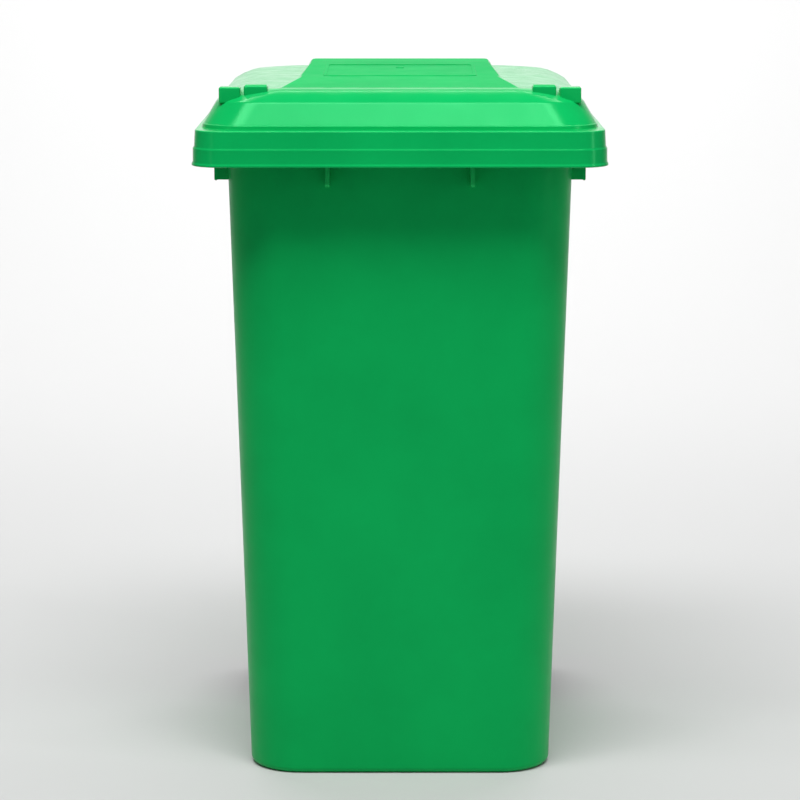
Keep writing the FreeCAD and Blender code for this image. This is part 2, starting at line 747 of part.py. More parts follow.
def make_lid_buffer(side, sign):
    """A rubber buffer pressed into the flange, on which the closed lid rests."""
    body = new_body(f"lid_buffer_{side}")
    low = d.flange_thickness + d.barb_height
    for name, start, radius, length in (
        ("disc", zero, d.buffer_radius, d.buffer_height),
        ("stem", -low, buffer_stem, low),
        ("barb", -low, buffer_stem + d.barb_reach, d.barb_height),
    ):
        sketch = new_sketch(body, "XY_Plane", f"{name}_outline", start)
        draw_circle(sketch, zero, zero, radius)
        pad(body, sketch, length, name)
    place(body, d.buffer_spread / 2 * sign, buffer_y, rim_top)
    return body


def make_axle():
    """The steel axle with a groove near each end for the wheel locks."""
    body = new_body("axle")
    end = wheel_x + hub_end - d.axle_setback
    groove = wheel_x + d.lock_offset
    half = d.lock_pin_radius + d.groove_clearance
    deep = d.axle_radius - d.groove_depth
    full = d.axle_radius
    right = [(zero, full), (groove - half, full), (groove - half, deep), (groove + half, deep),
             (groove + half, full), (end - d.edge_chamfer, full), (end, full - d.edge_chamfer)]
    left = [(-x, radius) for x, radius in reversed(right[1:])]
    revolve(body, [(-end, zero), *left, *right, (end, zero)], "rod")
    place(body, zero, axle_y, axle_z)
    return body


def make_axle_spacer(side, sign):
    """A sleeve that keeps the hub off the axle carrier."""
    body = new_body(f"axle_spacer_{side}")
    length = wheel_x - hub_end - spacer_start - d.end_gap
    bore = d.axle_radius + d.axle_clearance
    revolve(body, [
        (zero, bore), (length, bore), (length, bore + d.bush_wall), (zero, bore + d.bush_wall),
    ], "sleeve")
    place(body, spacer_start * sign, axle_y, axle_z, turned=sign < 0)
    return body


def is_ring(edge, radius):
    """True for a round edge of this radius."""
    curve = edge.Curve
    return isinstance(curve, Part.Circle) and abs(curve.Radius - radius) < 1e-6


def make_tyre(side, sign):
    """The solid rubber tyre."""
    body = new_body(f"tyre_{side}")
    half = d.tyre_width / 2
    seat = half - d.rim_thickness
    lip = rim_outer - d.rim_thickness / 2
    ring = revolve(body, [
        (-half, lip), (-seat, lip), (-seat, rim_outer), (seat, rim_outer), (seat, lip), (half, lip),
        (half, d.wheel_radius), (-half, d.wheel_radius),
    ], "ring")
    outer = d.wheel_radius.value
    fillet(body, ring, d.tyre_depth / 3, lambda edge: is_ring(edge, outer), "shoulders")
    place(body, wheel_x * sign, axle_y, axle_z, turned=sign < 0)
    return body


def make_wheel_centre(side, sign):
    """The moulded wheel: hub, web with round windows, rim, and the boss of the wheel lock."""
    body = new_body(f"wheel_centre_{side}")
    rim_half = d.tyre_width / 2 - d.rim_thickness
    revolve(body, [
        (-hub_end, bush_radius), (hub_end, bush_radius), (hub_end, hub_radius),
        (web_half, hub_radius), (web_half, rim_inner), (rim_half, rim_inner), (rim_half, rim_outer),
        (-rim_half, rim_outer), (-rim_half, rim_inner), (-web_half, rim_inner),
        (-web_half, hub_radius), (-hub_end, hub_radius),
    ], "disc")
    boss = new_sketch(body, "XY_Plane", "lock_boss_outline", hub_radius - d.hub_wall / 2)
    draw_box(boss, zero, d.lock_offset + lock_boss_half, -lock_boss_half, lock_boss_half)
    pad(body, boss, lock_boss_top - hub_radius + d.hub_wall / 2, "lock_boss")
    bore = new_sketch(body, "XY_Plane", "lock_bore_outline", bush_radius - d.cut_margin)
    draw_circle(bore, d.lock_offset, zero, d.lock_pin_radius + d.lock_clearance)
    pocket(body, bore, lock_shoulder - bush_radius + d.cut_margin, "lock_bore")
    chamber = new_sketch(body, "XY_Plane", "lock_chamber_outline", lock_shoulder)
    draw_circle(chamber, d.lock_offset, zero, d.lock_collar_radius + d.lock_clearance)
    pocket(body, chamber, lock_boss_top - d.cap_wall - lock_shoulder, "lock_chamber")
    window = new_sketch(body, "YZ_Plane", "window_outline", -web_half)
    draw_circle(window, zero, (rim_inner + d.cap_radius) / 2, d.window_radius)
    first = pocket(body, window, d.rim_thickness, "window")
    windows = body.newObject("PartDesign::PolarPattern", "windows")
    windows.Originals = [first]
    windows.Axis = (origin_feature(body, "X_Axis"), [""])
    windows.Angle = 360
    windows.Occurrences = WINDOWS
    body.Tip = windows
    document.recompute()
    place(body, wheel_x * sign, axle_y, axle_z, turned=sign < 0)
    return body


def make_hub_bush(side, sign):
    """The plain bearing between the hub and the axle, bored for the lock pin."""
    body = new_body(f"hub_bush_{side}")
    revolve(body, [
        (-hub_end, bush_bore), (hub_end, bush_bore), (hub_end, bush_radius), (-hub_end, bush_radius),
    ], "tube")
    hole = new_sketch(body, "XY_Plane", "lock_hole_outline", zero)
    draw_circle(hole, d.lock_offset, zero, d.lock_pin_radius + d.lock_clearance)
    pocket(body, hole, bush_radius + d.cut_margin, "lock_hole")
    place(body, wheel_x * sign, axle_y, axle_z, turned=sign < 0)
    return body


def make_hub_cap(side, sign):
    """The cap that covers the hub's outer end."""
    body = new_body(f"hub_cap_{side}")
    outside = cap_inside + d.cap_wall
    revolve(body, [
        (cap_inside, zero),
        (outside, zero),
        (outside, d.cap_radius - d.cap_bevel_width),
        (outside - d.cap_bevel_depth, d.cap_radius),
        (web_half, d.cap_radius),
        (web_half, d.cap_radius - d.cap_wall),
        (cap_inside, d.cap_radius - d.cap_wall - d.cap_bevel_depth),
    ], "cap")
    place(body, wheel_x * sign, axle_y, axle_z, turned=sign < 0)
    return body


def make_lock_pin(side, sign):
    """The radial pin that drops into the axle's groove and keeps the wheel on."""
    body = new_body(f"lock_pin_{side}")
    for name, start, radius, length in (
        ("shank", lock_tip, d.lock_pin_radius, d.lock_length),
        ("collar", lock_shoulder, d.lock_collar_radius, d.lock_collar_height),
    ):
        sketch = new_sketch(body, "XY_Plane", f"{name}_outline", start)
        draw_circle(sketch, zero, zero, radius)
        pad(body, sketch, length, name)
    place(body, (wheel_x + d.lock_offset) * sign, axle_y, axle_z)
    return body


def make_lock_spring(side, sign):
    """The wound spring that presses the lock pin into the groove."""
    body = new_body(f"lock_spring_{side}")
    radius = d.lock_collar_radius - d.spring_wire
    sketch = new_sketch(body, "XZ_Plane", "wire_outline")
    draw_circle(sketch, radius, spring_start + d.spring_wire / 2, d.spring_wire / 2)
    coil = body.newObject("PartDesign::AdditiveHelix", "coil")
    coil.Profile = sketch
    coil.ReferenceAxis = (sketch, ["V_Axis"])
    coil.Mode = "height-turns-angle"
    rise = d.lock_spring_length - d.spring_wire
    coil.setExpression("Height", rise.text)
    coil.Turns = SPRING_TURNS
    document.recompute()
    place(body, (wheel_x + d.lock_offset) * sign, axle_y, axle_z)
    return body


def check(document, pieces):
    """Stops if any feature failed, or any piece has no sound shape."""
    for item in document.Objects:
        if "Invalid" in item.State or "Error" in item.State:
            raise RuntimeError(f"{item.Name} failed: {item.State}")
    for piece in pieces:
        if piece.Shape.isNull() or not piece.Shape.isValid():
            raise RuntimeError(f"{piece.Label} has no sound shape")


def main():
    pieces = [make_bin_body(), make_lid(), make_axle()]
    makers = (
        make_hinge_pin, make_lid_buffer, make_axle_spacer, make_tyre, make_wheel_centre,
        make_hub_bush, make_hub_cap, make_lock_pin, make_lock_spring,
    )
    for side, sign in SIDES:
        pieces += [make(side, sign) for make in makers]
    document.recompute()
    check(document, pieces)
    os.makedirs("parts", exist_ok=True)
    for piece in pieces:
        piece.Shape.exportStep(f"parts/{piece.Label}.step")
        print(f"{piece.Label}: {len(piece.Shape.Solids)} solid, {piece.Shape.Volume / 1000:.1f} cm3")


main()
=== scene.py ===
"""Two-wheeled refuse bin: the visual model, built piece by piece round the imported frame.

Lengths are metres. The bin faces -Y, its axle and its lid's hinge line run along X, and Z is up.
"""

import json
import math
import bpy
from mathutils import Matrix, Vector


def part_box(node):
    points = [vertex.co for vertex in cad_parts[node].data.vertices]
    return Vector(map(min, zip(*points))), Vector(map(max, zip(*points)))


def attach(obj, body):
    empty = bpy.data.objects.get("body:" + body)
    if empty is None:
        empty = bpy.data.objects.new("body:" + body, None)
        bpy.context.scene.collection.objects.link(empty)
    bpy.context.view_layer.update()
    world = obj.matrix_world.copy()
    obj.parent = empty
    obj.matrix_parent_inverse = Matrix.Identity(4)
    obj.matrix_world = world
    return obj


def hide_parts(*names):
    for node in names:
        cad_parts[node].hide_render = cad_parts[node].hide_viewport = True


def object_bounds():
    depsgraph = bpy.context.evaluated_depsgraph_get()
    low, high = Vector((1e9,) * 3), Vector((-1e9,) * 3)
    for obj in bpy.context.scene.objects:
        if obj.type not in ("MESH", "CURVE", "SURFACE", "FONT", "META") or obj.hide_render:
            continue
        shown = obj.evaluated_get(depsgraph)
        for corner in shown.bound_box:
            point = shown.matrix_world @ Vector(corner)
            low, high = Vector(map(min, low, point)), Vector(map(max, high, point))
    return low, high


bl_info = {
    "name": "Wheeled Refuse Bin",
    "version": (1, 0, 0),
    "blender": (4, 5, 0),
    "location": "3D View > Sidebar > Bin",
    "description": "Builds a two-wheeled refuse bin and a plain studio round it",
    "category": "Object",
}

import bmesh
import bpy
from mathutils import Matrix, Vector

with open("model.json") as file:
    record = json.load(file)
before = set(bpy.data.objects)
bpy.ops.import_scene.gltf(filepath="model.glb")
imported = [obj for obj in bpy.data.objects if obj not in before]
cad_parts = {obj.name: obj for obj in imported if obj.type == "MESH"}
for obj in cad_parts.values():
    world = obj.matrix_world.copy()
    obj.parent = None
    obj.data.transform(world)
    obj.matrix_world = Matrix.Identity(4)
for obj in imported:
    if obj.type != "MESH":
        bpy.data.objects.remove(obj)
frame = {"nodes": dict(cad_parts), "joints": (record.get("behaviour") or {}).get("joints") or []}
CAD_LOW, CAD_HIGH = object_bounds()

BODY_LOW, BODY_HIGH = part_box("bin_body")
LID_LOW, LID_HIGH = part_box("lid")
AXLE_LOW, AXLE_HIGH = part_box("axle")
TYRE_LOW, TYRE_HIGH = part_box("tyre_right")
HUB_LOW, HUB_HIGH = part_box("wheel_centre_right")
_, CAP_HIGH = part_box("hub_cap_right")
PIN_LOW, PIN_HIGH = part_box("hinge_pin_right")
BUFFER_LOW, BUFFER_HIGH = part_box("lid_buffer_right")
SPACER_LOW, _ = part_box("axle_spacer_right")
LOCK_LOW, LOCK_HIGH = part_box("lock_pin_right")
_, SPRING_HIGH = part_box("lock_spring_right")

HINGE = Vector(next(j for j in frame["joints"] if j["name"] == "lid_hinge")["pos_m"])
AXLE = (AXLE_LOW + AXLE_HIGH) / 2
WHEEL_RADIUS = (TYRE_HIGH.z - TYRE_LOW.z) / 2
WHEEL_MIDDLE = (TYRE_LOW.x + TYRE_HIGH.x) / 2
LOCK_OFFSET = (LOCK_LOW.x + LOCK_HIGH.x) / 2 - WHEEL_MIDDLE
BUFFER_PROUD = 0.0038  # buffers above the rim
RIM_TOP = BUFFER_HIGH.z - BUFFER_PROUD
WELD = 0.00002  # vertices nearer than this become one
SHARP_ANGLE = math.radians(42)
HUMP_SKIN = 0.0090  # level faces this near the lid's top are grained
RAMP_RUN, RAMP_RISE = 0.45, 0.50  # where the hump's ramp bends, as shares of its run and rise
SIDES = (("left", -1), ("right", 1))

TUB_SIDE, TUB_FRONT, TUB_REAR = 0.044, 0.055, 0.078  # tub's mouth in from lid, front and hinge line
FLANGE_REAR = 0.068  # rim flange in front of the hinge line
LID_REAR = 0.048  # lid's rear edge in front of the hinge line
GRIP_LENGTH = 0.102  # between the middle and outer brackets
GRIP_END = 0.022  # plain length at each end of a grip
GRIP_RINGS = 9
HINGE_PLAY = 0.001  # each side of a lid arm
PIN_HEAD, PIN_RADIUS = 0.004, 0.006
AXLE_BORE = 0.010
INNER_CARRIER = 0.060  # inner axle carriers from the middle
LUG_LENGTH = 0.028
GROOVE_DEPTH = 0.003  # tread grooves
GATE_RADIUS = 0.007  # round mark on the lid's panel
CAMERA_LENS, CAMERA_AWAY, CAMERA_HEIGHT = 131.0, 4.0, 1.28
# name, place, target, size and power of each light
LIGHTS = (
    ("key", (-0.2, -1.5, 3.8), (0, -0.3, 0.6), (3.0, 1.2), 155.0),
    ("left_strip", (-2.4, -2.4, 1.6), (0, -0.2, 0.7), (0.12, 2.2), 4.0),
    ("right_strip", (2.6, -1.4, 1.4), (0, -0.1, 0.6), (0.12, 2.0), 12.0),
    ("backdrop", (0.0, 2.6, 5.2), (0, 6.5, 1.6), (6.0, 1.5), 480.0),
)
SURROUND = 0.11  # strength of the pale surround


def distance(name, description, default):
    """A length that the user can change."""
    return bpy.props.FloatProperty(
        name=name, description=description, default=default, min=0.0, subtype="DISTANCE", unit="LENGTH"
    )


def colour(name, description, default):
    """A colour that the user can change."""
    return bpy.props.FloatVectorProperty(
        name=name, description=description, default=default, size=3, min=0.0, max=1.0, subtype="COLOR"
    )


class BinTubSizes(bpy.types.PropertyGroup):
    """Sizes of the moulded body."""

    wall: distance("Wall", "Thickness of the tub's wall", 0.004)
    floor: distance("Floor", "Height of the tub's inner floor", 0.009)
    corner: distance("Corner", "Radius of the upright corners", 0.075)
    side_taper: distance("Side taper", "How far each side leans in from rim to foot", 0.026)
    end_taper: distance("End taper", "How far front and rear lean in from rim to foot", 0.035)
    foot_width: distance("Foot width", "Width of the foot ring", 0.030)
    foot_depth: distance("Foot depth", "Depth of the hollow inside the foot ring", 0.004)
    foot_round: distance("Foot rounding", "Rounding along the foot", 0.009)
    collar_drop: distance("Collar drop", "From the rim's top to the collar's lower edge", 0.072)
    collar_side: distance("Collar side", "Collar beyond the tub's sides", 0.018)
    collar_front: distance("Collar front", "Collar beyond the tub's front", 0.028)
    collar_rear: distance("Collar rear", "Collar beyond the tub's rear", 0.010)
    lip_cover: distance("Lip cover", "Front lip's edge above the lid skirt's", 0.005)
    rib: distance("Rib", "Thickness of the ribs under the rim", 0.006)
    comb_spread: distance("Comb ribs", "Between the two ribs that guide the lifting comb", 0.202)
    bracket: distance("Bracket", "Thickness of the handle brackets", 0.008)
    grip_radius: distance("Grip radius", "Radius of the handle grips", 0.017)
    grip_groove: distance("Grip groove", "Depth of the rings cut into the grips", 0.0009)
    carrier: distance("Carrier", "Thickness of the axle carriers", 0.008)
    recess_gap: distance("Recess gap", "Between the tyres and the wheel recess", 0.012)


class BinLidSizes(bpy.types.PropertyGroup):
    """Sizes of the moulded lid."""

    wall: distance("Wall", "Thickness of the lid", 0.004)
    corner: distance("Skirt corner", "Corner radius of the skirt", 0.045)
    skirt_depth: distance("Skirt depth", "Skirt below the ledge", 0.050)
    skirt_step: distance("Skirt step", "Lower half of the skirt stands proud", 0.0025)
    ledge_side: distance("Ledge at the sides", "Ledge between skirt and band", 0.007)
    ledge_front: distance("Ledge in front", "Ledge between skirt and band", 0.025)
    band_corner: distance("Band corner", "Corner radius of the band", 0.062)
    plinth: distance("Plinth", "Upright strip at the band's foot", 0.005)
    band_height: distance("Band height", "Sloping band above the ledge", 0.036)
    band_slope: distance("Band slope", "How far the band leans in", 0.020)
    crown_height: distance("Crown height", "Crowned top above the band", 0.020)
    crown_step: distance("Crown step", "Rise of the rounded shoulder above the band", 0.018)
    crown_side: distance("Crown side", "Run of the rounded shoulder at the sides", 0.045)
    crown_front: distance("Crown front", "Run of the rounded shoulder in front", 0.034)
    crown_ramp: distance("Crown ramp", "Run of the last, nearly level rise in front", 0.128)
    hump_foot: distance("Hump foot", "Half width of the hump at its front", 0.179)
    hump_crest: distance("Hump crest", "Half width of the hump's top", 0.138)
    hump_flare: distance("Hump flare", "How far the hump's sides slope out", 0.014)
    hump_ramp: distance("Hump ramp", "Length of the hump's front ramp", 0.400)
    hump_back: distance("Hump back", "Length of the slope behind the hump", 0.040)
    lug_height: distance("Lug height", "Outer grip lugs above the band", 0.020)
    arm_width: distance("Arm width", "Width of a hinge arm", 0.032)


class BinWheelSizes(bpy.types.PropertyGroup):
    """Sizes of the wheels."""

    tyre_depth: distance("Tyre depth", "From tread to rim", 0.026)
    rim: distance("Rim", "Thickness of the rim and the web", 0.006)
    hub_radius: distance("Hub radius", "Outside of the hub", 0.022)
    bore_radius: distance("Bore radius", "Bore of the hub", 0.013)
    window_radius: distance("Window radius", "Round windows in the web", 0.008)
    cap_radius: distance("Cap radius", "Outside of the hub cap", 0.044)
    cap_wall: distance("Cap wall", "Thickness of the hub cap", 0.003)
    windows: bpy.props.IntProperty(
        name="Windows", description="Number of round windows in the web", default=8, min=3
    )


class BinColours(bpy.types.PropertyGroup):
    """Colours of the finishes."""

    tub: colour("Tub", "Moulded polyethylene of the body", (0.004, 0.420, 0.095))
    lid: colour("Lid", "Moulded polyethylene of the lid", (0.003, 0.400, 0.095))
    rubber: colour("Rubber", "Tyres and buffers", (0.020, 0.020, 0.021))
    nylon: colour("Nylon", "Dark moulded small parts", (0.028, 0.028, 0.030))
    bush: colour("Bush", "Natural nylon of the bearings", (0.62, 0.60, 0.52))
    zinc: colour("Zinc", "Plated steel", (0.56, 0.57, 0.58))
    floor: colour("Floor", "Studio floor", (0.55, 0.55, 0.55))


# --- shaping


def mirrored(outline, side):
    """An outline along X, turned round for the left-hand side."""
    return outline if side > 0 else [(-a, r, b) for a, r, b in outline]


def span(one, two, side):
    """Two places along X on a side, the lower first."""
    return sorted((one * side, two * side))


def slab_start(place, thick, side):
    """The lower end along X of a slab that begins at a place on a side."""
    return place if side > 0 else -place - thick


def turn_outward(bm):
    """Turns every face outward."""
    bmesh.ops.recalc_face_normals(bm, faces=bm.faces)


def push_out(bm, grown, move):
    """Moves the vertices that an extrusion made, and turns the faces outward."""
    moved = [item for item in grown["geom"] if isinstance(item, bmesh.types.BMVert)]
    bmesh.ops.translate(bm, vec=move, verts=moved)
    turn_outward(bm)


def round_corners(bm, verts, radius, segments):
    """Rounds the corners of an outline."""
    bmesh.ops.bevel(
        bm, geom=verts, offset=radius, offset_type="OFFSET", affect="VERTICES",
        segments=segments, profile=0.5, material=-1,
    )


def draw_ring(bm, height, half, front, rear, corner, segments=10):
    """A level, round-cornered outline at a height; gives its edges."""
    others = set(bm.edges)
    places = ((-half, front), (half, front), (half, rear), (-half, rear))
    corners = [bm.verts.new((x, y, height)) for x, y in places]
    for one, two in zip(corners, corners[1:] + corners[:1]):
        bm.edges.new((one, two))
    round_corners(bm, corners, corner, segments)
    return [edge for edge in bm.edges if edge not in others]


def stack_rings(rings):
    """A closed shell through level rings, each (height, half, front, rear, corner, rounding).

    The rings are bridged a metre apart, then brought to their heights, which may fold back.
    """
    bm = bmesh.new()
    loops = [draw_ring(bm, step, *ring[1:5]) for step, ring in enumerate(rings)]
    for lower, upper in zip(loops, loops[1:]):
        bmesh.ops.bridge_loops(bm, edges=lower + upper)
    for end in (loops[0], loops[-1]):
        bmesh.ops.edgeloop_fill(bm, edges=end)
    for loop, ring in zip(loops, rings):
        for vert in {vert for edge in loop for vert in edge.verts}:
            vert.co.z = ring[0]
    turn_outward(bm)
    for loop, ring in zip(loops, rings):
        if ring[5] > 0:
            round_edges(bm, loop, ring[5])
    return bm


def round_edges(bm, edges, radius, segments=3):
    """Rounds edges, keeping the rest of the mesh."""
    bmesh.ops.bevel(
        bm, geom=[e for e in edges if e.is_valid], offset=radius, offset_type="OFFSET",
        affect="EDGES", segments=segments, profile=0.5, material=-1, clamp_overlap=True,
    )


def prism(outline, start, length, plane="YZ"):
    """A closed prism from an outline in one plane, extruded along the plane's normal."""
    bm = bmesh.new()
    if plane == "YZ":
        corners = [bm.verts.new((start, a, b)) for a, b in outline]
        push = Vector((length, 0, 0))
    else:
        corners = [bm.verts.new((a, b, start)) for a, b in outline]
        push = Vector((0, 0, length))
    push_out(bm, bmesh.ops.extrude_face_region(bm, geom=[bm.faces.new(corners)]), push)
    return bm


def block(low, high, rounding=0.0):
    """A box between two corners, with its edges rounded if asked."""
    bm = bmesh.new()
    low, high = Vector(low), Vector(high)
    placed = Matrix.Translation((low + high) / 2) @ Matrix.Diagonal((*(high - low), 1.0))
    bmesh.ops.create_cube(bm, size=1.0, matrix=placed)
    if rounding:
        round_edges(bm, list(bm.edges), rounding)
    return bm


def rod(radius, start, end, centre, segments=48):
    """A plain cylinder along X between two places, about a centre line."""
    bm = bmesh.new()
    middle = Matrix.Translation(((start + end) / 2, centre.y, centre.z))
    turn = middle @ Matrix.Rotation(math.pi / 2, 4, "Y")
    bmesh.ops.create_cone(
        bm, cap_ends=True, segments=segments, radius1=radius, radius2=radius,
        depth=end - start, matrix=turn,
    )
    return bm


def turned(outline, centre, steps=96, direction="X", closed=True):
    """Spins an outline of (along, radius, rounding) about an axis through a centre."""
    bm = bmesh.new()
    along = Vector((1, 0, 0)) if direction == "X" else Vector((0, 0, 1))
    across = Vector((0, 0, 1)) if direction == "X" else Vector((1, 0, 0))
    points = [bm.verts.new(centre + along * a + across * r) for a, r, _ in outline]
    pairs = list(zip(points, points[1:]))
    if closed:
        pairs.append((points[-1], points[0]))
    for pair in pairs:
        bm.edges.new(pair)
    for radius in sorted({item[2] for item in outline if item[2] > 0}):
        picked = [v for v, item in zip(points, outline) if item[2] == radius]
        round_corners(bm, picked, radius, 4)
    bmesh.ops.spin(
        bm, geom=[*bm.verts, *bm.edges], cent=centre, axis=along, dvec=(0, 0, 0),
        angle=2 * math.pi, steps=steps, use_merge=True,
    )
    bmesh.ops.remove_doubles(bm, verts=bm.verts, dist=1e-6)
    turn_outward(bm)
    return bm


def joined(parts):
    """One mesh from several that don't touch."""
    whole = bmesh.new()
    for part in parts:
        mesh = bpy.data.meshes.new("part")
        part.to_mesh(mesh)
        part.free()
        whole.from_mesh(mesh)
        bpy.data.meshes.remove(mesh)
    return whole


def combine(target, tool, operation):
    """Adds, cuts or intersects two closed meshes and gives the result."""
    work = []
    for bm in (target, tool):
        mesh = bpy.data.meshes.new("work")
        turn_outward(bm)
        bm.to_mesh(mesh)
        work.append(place_object("work", mesh))
    before = abs(target.calc_volume())
    target.free()
    tool.free()
    modifier = work[0].modifiers.new("combine", "BOOLEAN")
    modifier.operation = operation
    modifier.object = work[1]
    modifier.solver = "MANIFOLD"
    result = bmesh.new()
    result.from_object(work[0], bpy.context.evaluated_depsgraph_get())
    for obj in work:
        mesh = obj.data
        bpy.data.objects.remove(obj)
        bpy.data.meshes.remove(mesh)
    if abs(abs(result.calc_volume()) - before) < 1e-12:
        raise RuntimeError(f"{operation} changed nothing")
    return result


def smooth_mesh(bm, name):
    """A smooth-shaded mesh from a working mesh, which is freed."""
    mesh = bpy.data.meshes.new(name)
    bm.to_mesh(mesh)
    bm.free()
    for polygon in mesh.polygons:
        polygon.use_smooth = True
    return mesh


def place_object(name, data):
    """An object in the scene."""
    placed = bpy.data.objects.new(name, data)
    bpy.context.scene.collection.objects.link(placed)
    return placed


def finish_piece(bm, name, body, looks, replaced):
    """Makes a piece from a mesh, smooths it up to its sharp edges and hands it to the frame."""
    bmesh.ops.remove_doubles(bm, verts=bm.verts, dist=WELD)
    bmesh.ops.dissolve_degenerate(bm, edges=bm.edges, dist=WELD)
    mesh = smooth_mesh(bm, name)
    mesh.set_sharp_from_angle(angle=SHARP_ANGLE)
    for look in looks:
        mesh.materials.append(finishes()[look])
    piece = place_object(name, mesh)
    shading = piece.modifiers.new("Weighted Normal", "WEIGHTED_NORMAL")
    shading.keep_sharp = True
    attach(piece, body)
    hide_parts(*replaced)


# --- finishes


def new_material(name):
    """A material with one shader; gives the material, its node tree and the shader."""
    material = bpy.data.materials.new(name)
    material.use_nodes = True
    tree = material.node_tree
    return material, tree, tree.nodes["Principled BSDF"]


def set_values(node, **values):
    """Sets a node's sockets; an underscore stands for a space in their names."""
    for name, value in values.items():
        node.inputs[name.replace("_", " ")].default_value = value


def noise(tree, scale, detail, roughness):
    """A noise texture on Object coordinates."""
    texture = tree.nodes.new("ShaderNodeTexNoise")
    set_values(texture, Scale=scale, Detail=detail, Roughness=roughness)
    source = tree.nodes.new("ShaderNodeTexCoord").outputs["Object"]
    tree.links.new(source, texture.inputs["Vector"])
    return texture.outputs["Fac"]


def spread(tree, value, low, high, from_low=0.3, from_high=0.7):
    """Maps a texture's value to a range."""
    node = tree.nodes.new("ShaderNodeMapRange")
    set_values(node, From_Min=from_low, From_Max=from_high, To_Min=low, To_Max=high)
    tree.links.new(value, node.inputs["Value"])
    return node.outputs["Result"]


def blend_colours(tree, factor, first, second):
    """Mixes two colours, each a triple or a socket, by a factor."""
    node = tree.nodes.new("ShaderNodeMix")
    node.data_type = "RGBA"
    tree.links.new(factor, node.inputs["Factor"])
    for socket, value in ((node.inputs[6], first), (node.inputs[7], second)):
        if isinstance(value, bpy.types.NodeSocket):
            tree.links.new(value, socket)
        else:
            socket.default_value = (*value, 1.0)
    return node.outputs[2]


def relief(tree, shader, height, strength, depth, normal=None):
    """Adds a bump to a shader, over another bump if given."""
    node = tree.nodes.new("ShaderNodeBump")
    set_values(node, Strength=strength, Distance=depth)
    tree.links.new(height, node.inputs["Height"])
    if normal:
        tree.links.new(normal, node.inputs["Normal"])
    tree.links.new(node.outputs["Normal"], shader.inputs["Normal"])
    return node.outputs["Normal"]


def moulded_plastic(
    name, tint, gloss, grain, paler=1.35, edge=0.0, shine=0.5, waviness=0.35, glint=(1.0, 1.0, 1.0)
):
    """Injection-moulded plastic: faint flow clouds, a fine grain, uneven gloss, and convex edges painted
    paler, partly as rubbed wear and partly as a painted highlight.
    """
    material, tree, shader = new_material(name)
    tint = Vector(tint)
    clouds = noise(tree, 5.0, 4.0, 0.6)
    base = blend_colours(tree, spread(tree, clouds, 0.0, 1.0), tint * 0.93, tint * 1.07)
    specks = noise(tree, 420.0, 2.0, 0.5)
    base = blend_colours(tree, spread(tree, specks, 0.0, 0.10, 0.55, 0.75), base, tint * paler)
    # Convex edges are painted paler, partly as rubbed wear and partly as a painted highlight along the
    # edges.
    if edge:
        bends = tree.nodes.new("ShaderNodeNewGeometry").outputs["Pointiness"]
        wear_and_highlight = spread(tree, bends, 0.0, edge, 0.52, 0.60)
        base = blend_colours(tree, wear_and_highlight, base, tint * paler + Vector((0.03, 0.04, 0.03)))
    tree.links.new(base, shader.inputs["Base Color"])
    scuffs = noise(tree, 28.0, 6.0, 0.65)
    tree.links.new(spread(tree, scuffs, gloss - 0.05, gloss + 0.07), shader.inputs["Roughness"])
    waves = relief(tree, shader, noise(tree, 9.0, 2.0, 0.4), waviness, 0.0010)
    relief(tree, shader, noise(tree, 1500.0, 2.0, 0.5), grain, 0.00008, waves)
    set_values(shader, IOR=1.51, Specular_IOR_Level=shine, Specular_Tint=(*glint, 1.0))
    return material


def solid_rubber(name, tint):
    """Solid rubber with dust in its grain."""
    material, tree, shader = new_material(name)
    tint = Vector(tint)
    dust = noise(tree, 60.0, 6.0, 0.7)
    base = blend_colours(tree, spread(tree, dust, 0.0, 0.35, 0.45, 0.75), tint, tint * 3.2)
    tree.links.new(base, shader.inputs["Base Color"])
    tree.links.new(spread(tree, dust, 0.68, 0.88), shader.inputs["Roughness"])
    relief(tree, shader, noise(tree, 900.0, 3.0, 0.6), 0.5, 0.0002)
    return material


def plated_steel(name, tint):
    """Zinc-plated steel with the spangle of its plating."""
    material, tree, shader = new_material(name)
    tint = Vector(tint)
    grains = tree.nodes.new("ShaderNodeTexVoronoi")
    set_values(grains, Scale=160.0)
    source = tree.nodes.new("ShaderNodeTexCoord").outputs["Object"]
    tree.links.new(source, grains.inputs["Vector"])
    tone = tree.nodes.new("ShaderNodeSeparateColor")
    tree.links.new(grains.outputs["Color"], tone.inputs["Color"])
    base = blend_colours(tree, tone.outputs["Red"], tint * 0.82, tint * 1.15)
    tree.links.new(base, shader.inputs["Base Color"])
    tree.links.new(spread(tree, tone.outputs["Green"], 0.26, 0.42, 0.0, 1.0), shader.inputs["Roughness"])
    set_values(shader, Metallic=1.0)
    relief(tree, shader, noise(tree, 700.0, 3.0, 0.5), 0.15, 0.0001)
    return material


def finishes():
    """Every finish by name, made once."""
    tints = bpy.context.scene.bin_colours
    if "tub_plastic" not in bpy.data.materials:
        green = (0.20, 1.0, 0.45)
        # edge=0.3 paints the convex edges paler: rubbed wear together with a painted highlight.
        moulded_plastic("tub_plastic", tints.tub, 0.34, 0.20, edge=0.3, shine=0.14, glint=green)
        moulded_plastic("lid_glossy", tints.lid, 0.20, 0.12, edge=0.3, shine=0.30, glint=green)
        moulded_plastic(
            "lid_grained", tints.lid, 0.60, 0.35, edge=0.3, shine=0.05, waviness=0.1, glint=green
        )
        moulded_plastic("dark_nylon", tints.nylon, 0.45, 0.45, 1.8)
        moulded_plastic("bush_nylon", tints.bush, 0.40, 0.20, 1.1)
        solid_rubber("solid_rubber", tints.rubber)
        plated_steel("plated_steel", tints.zinc)
    return bpy.data.materials


# --- tub


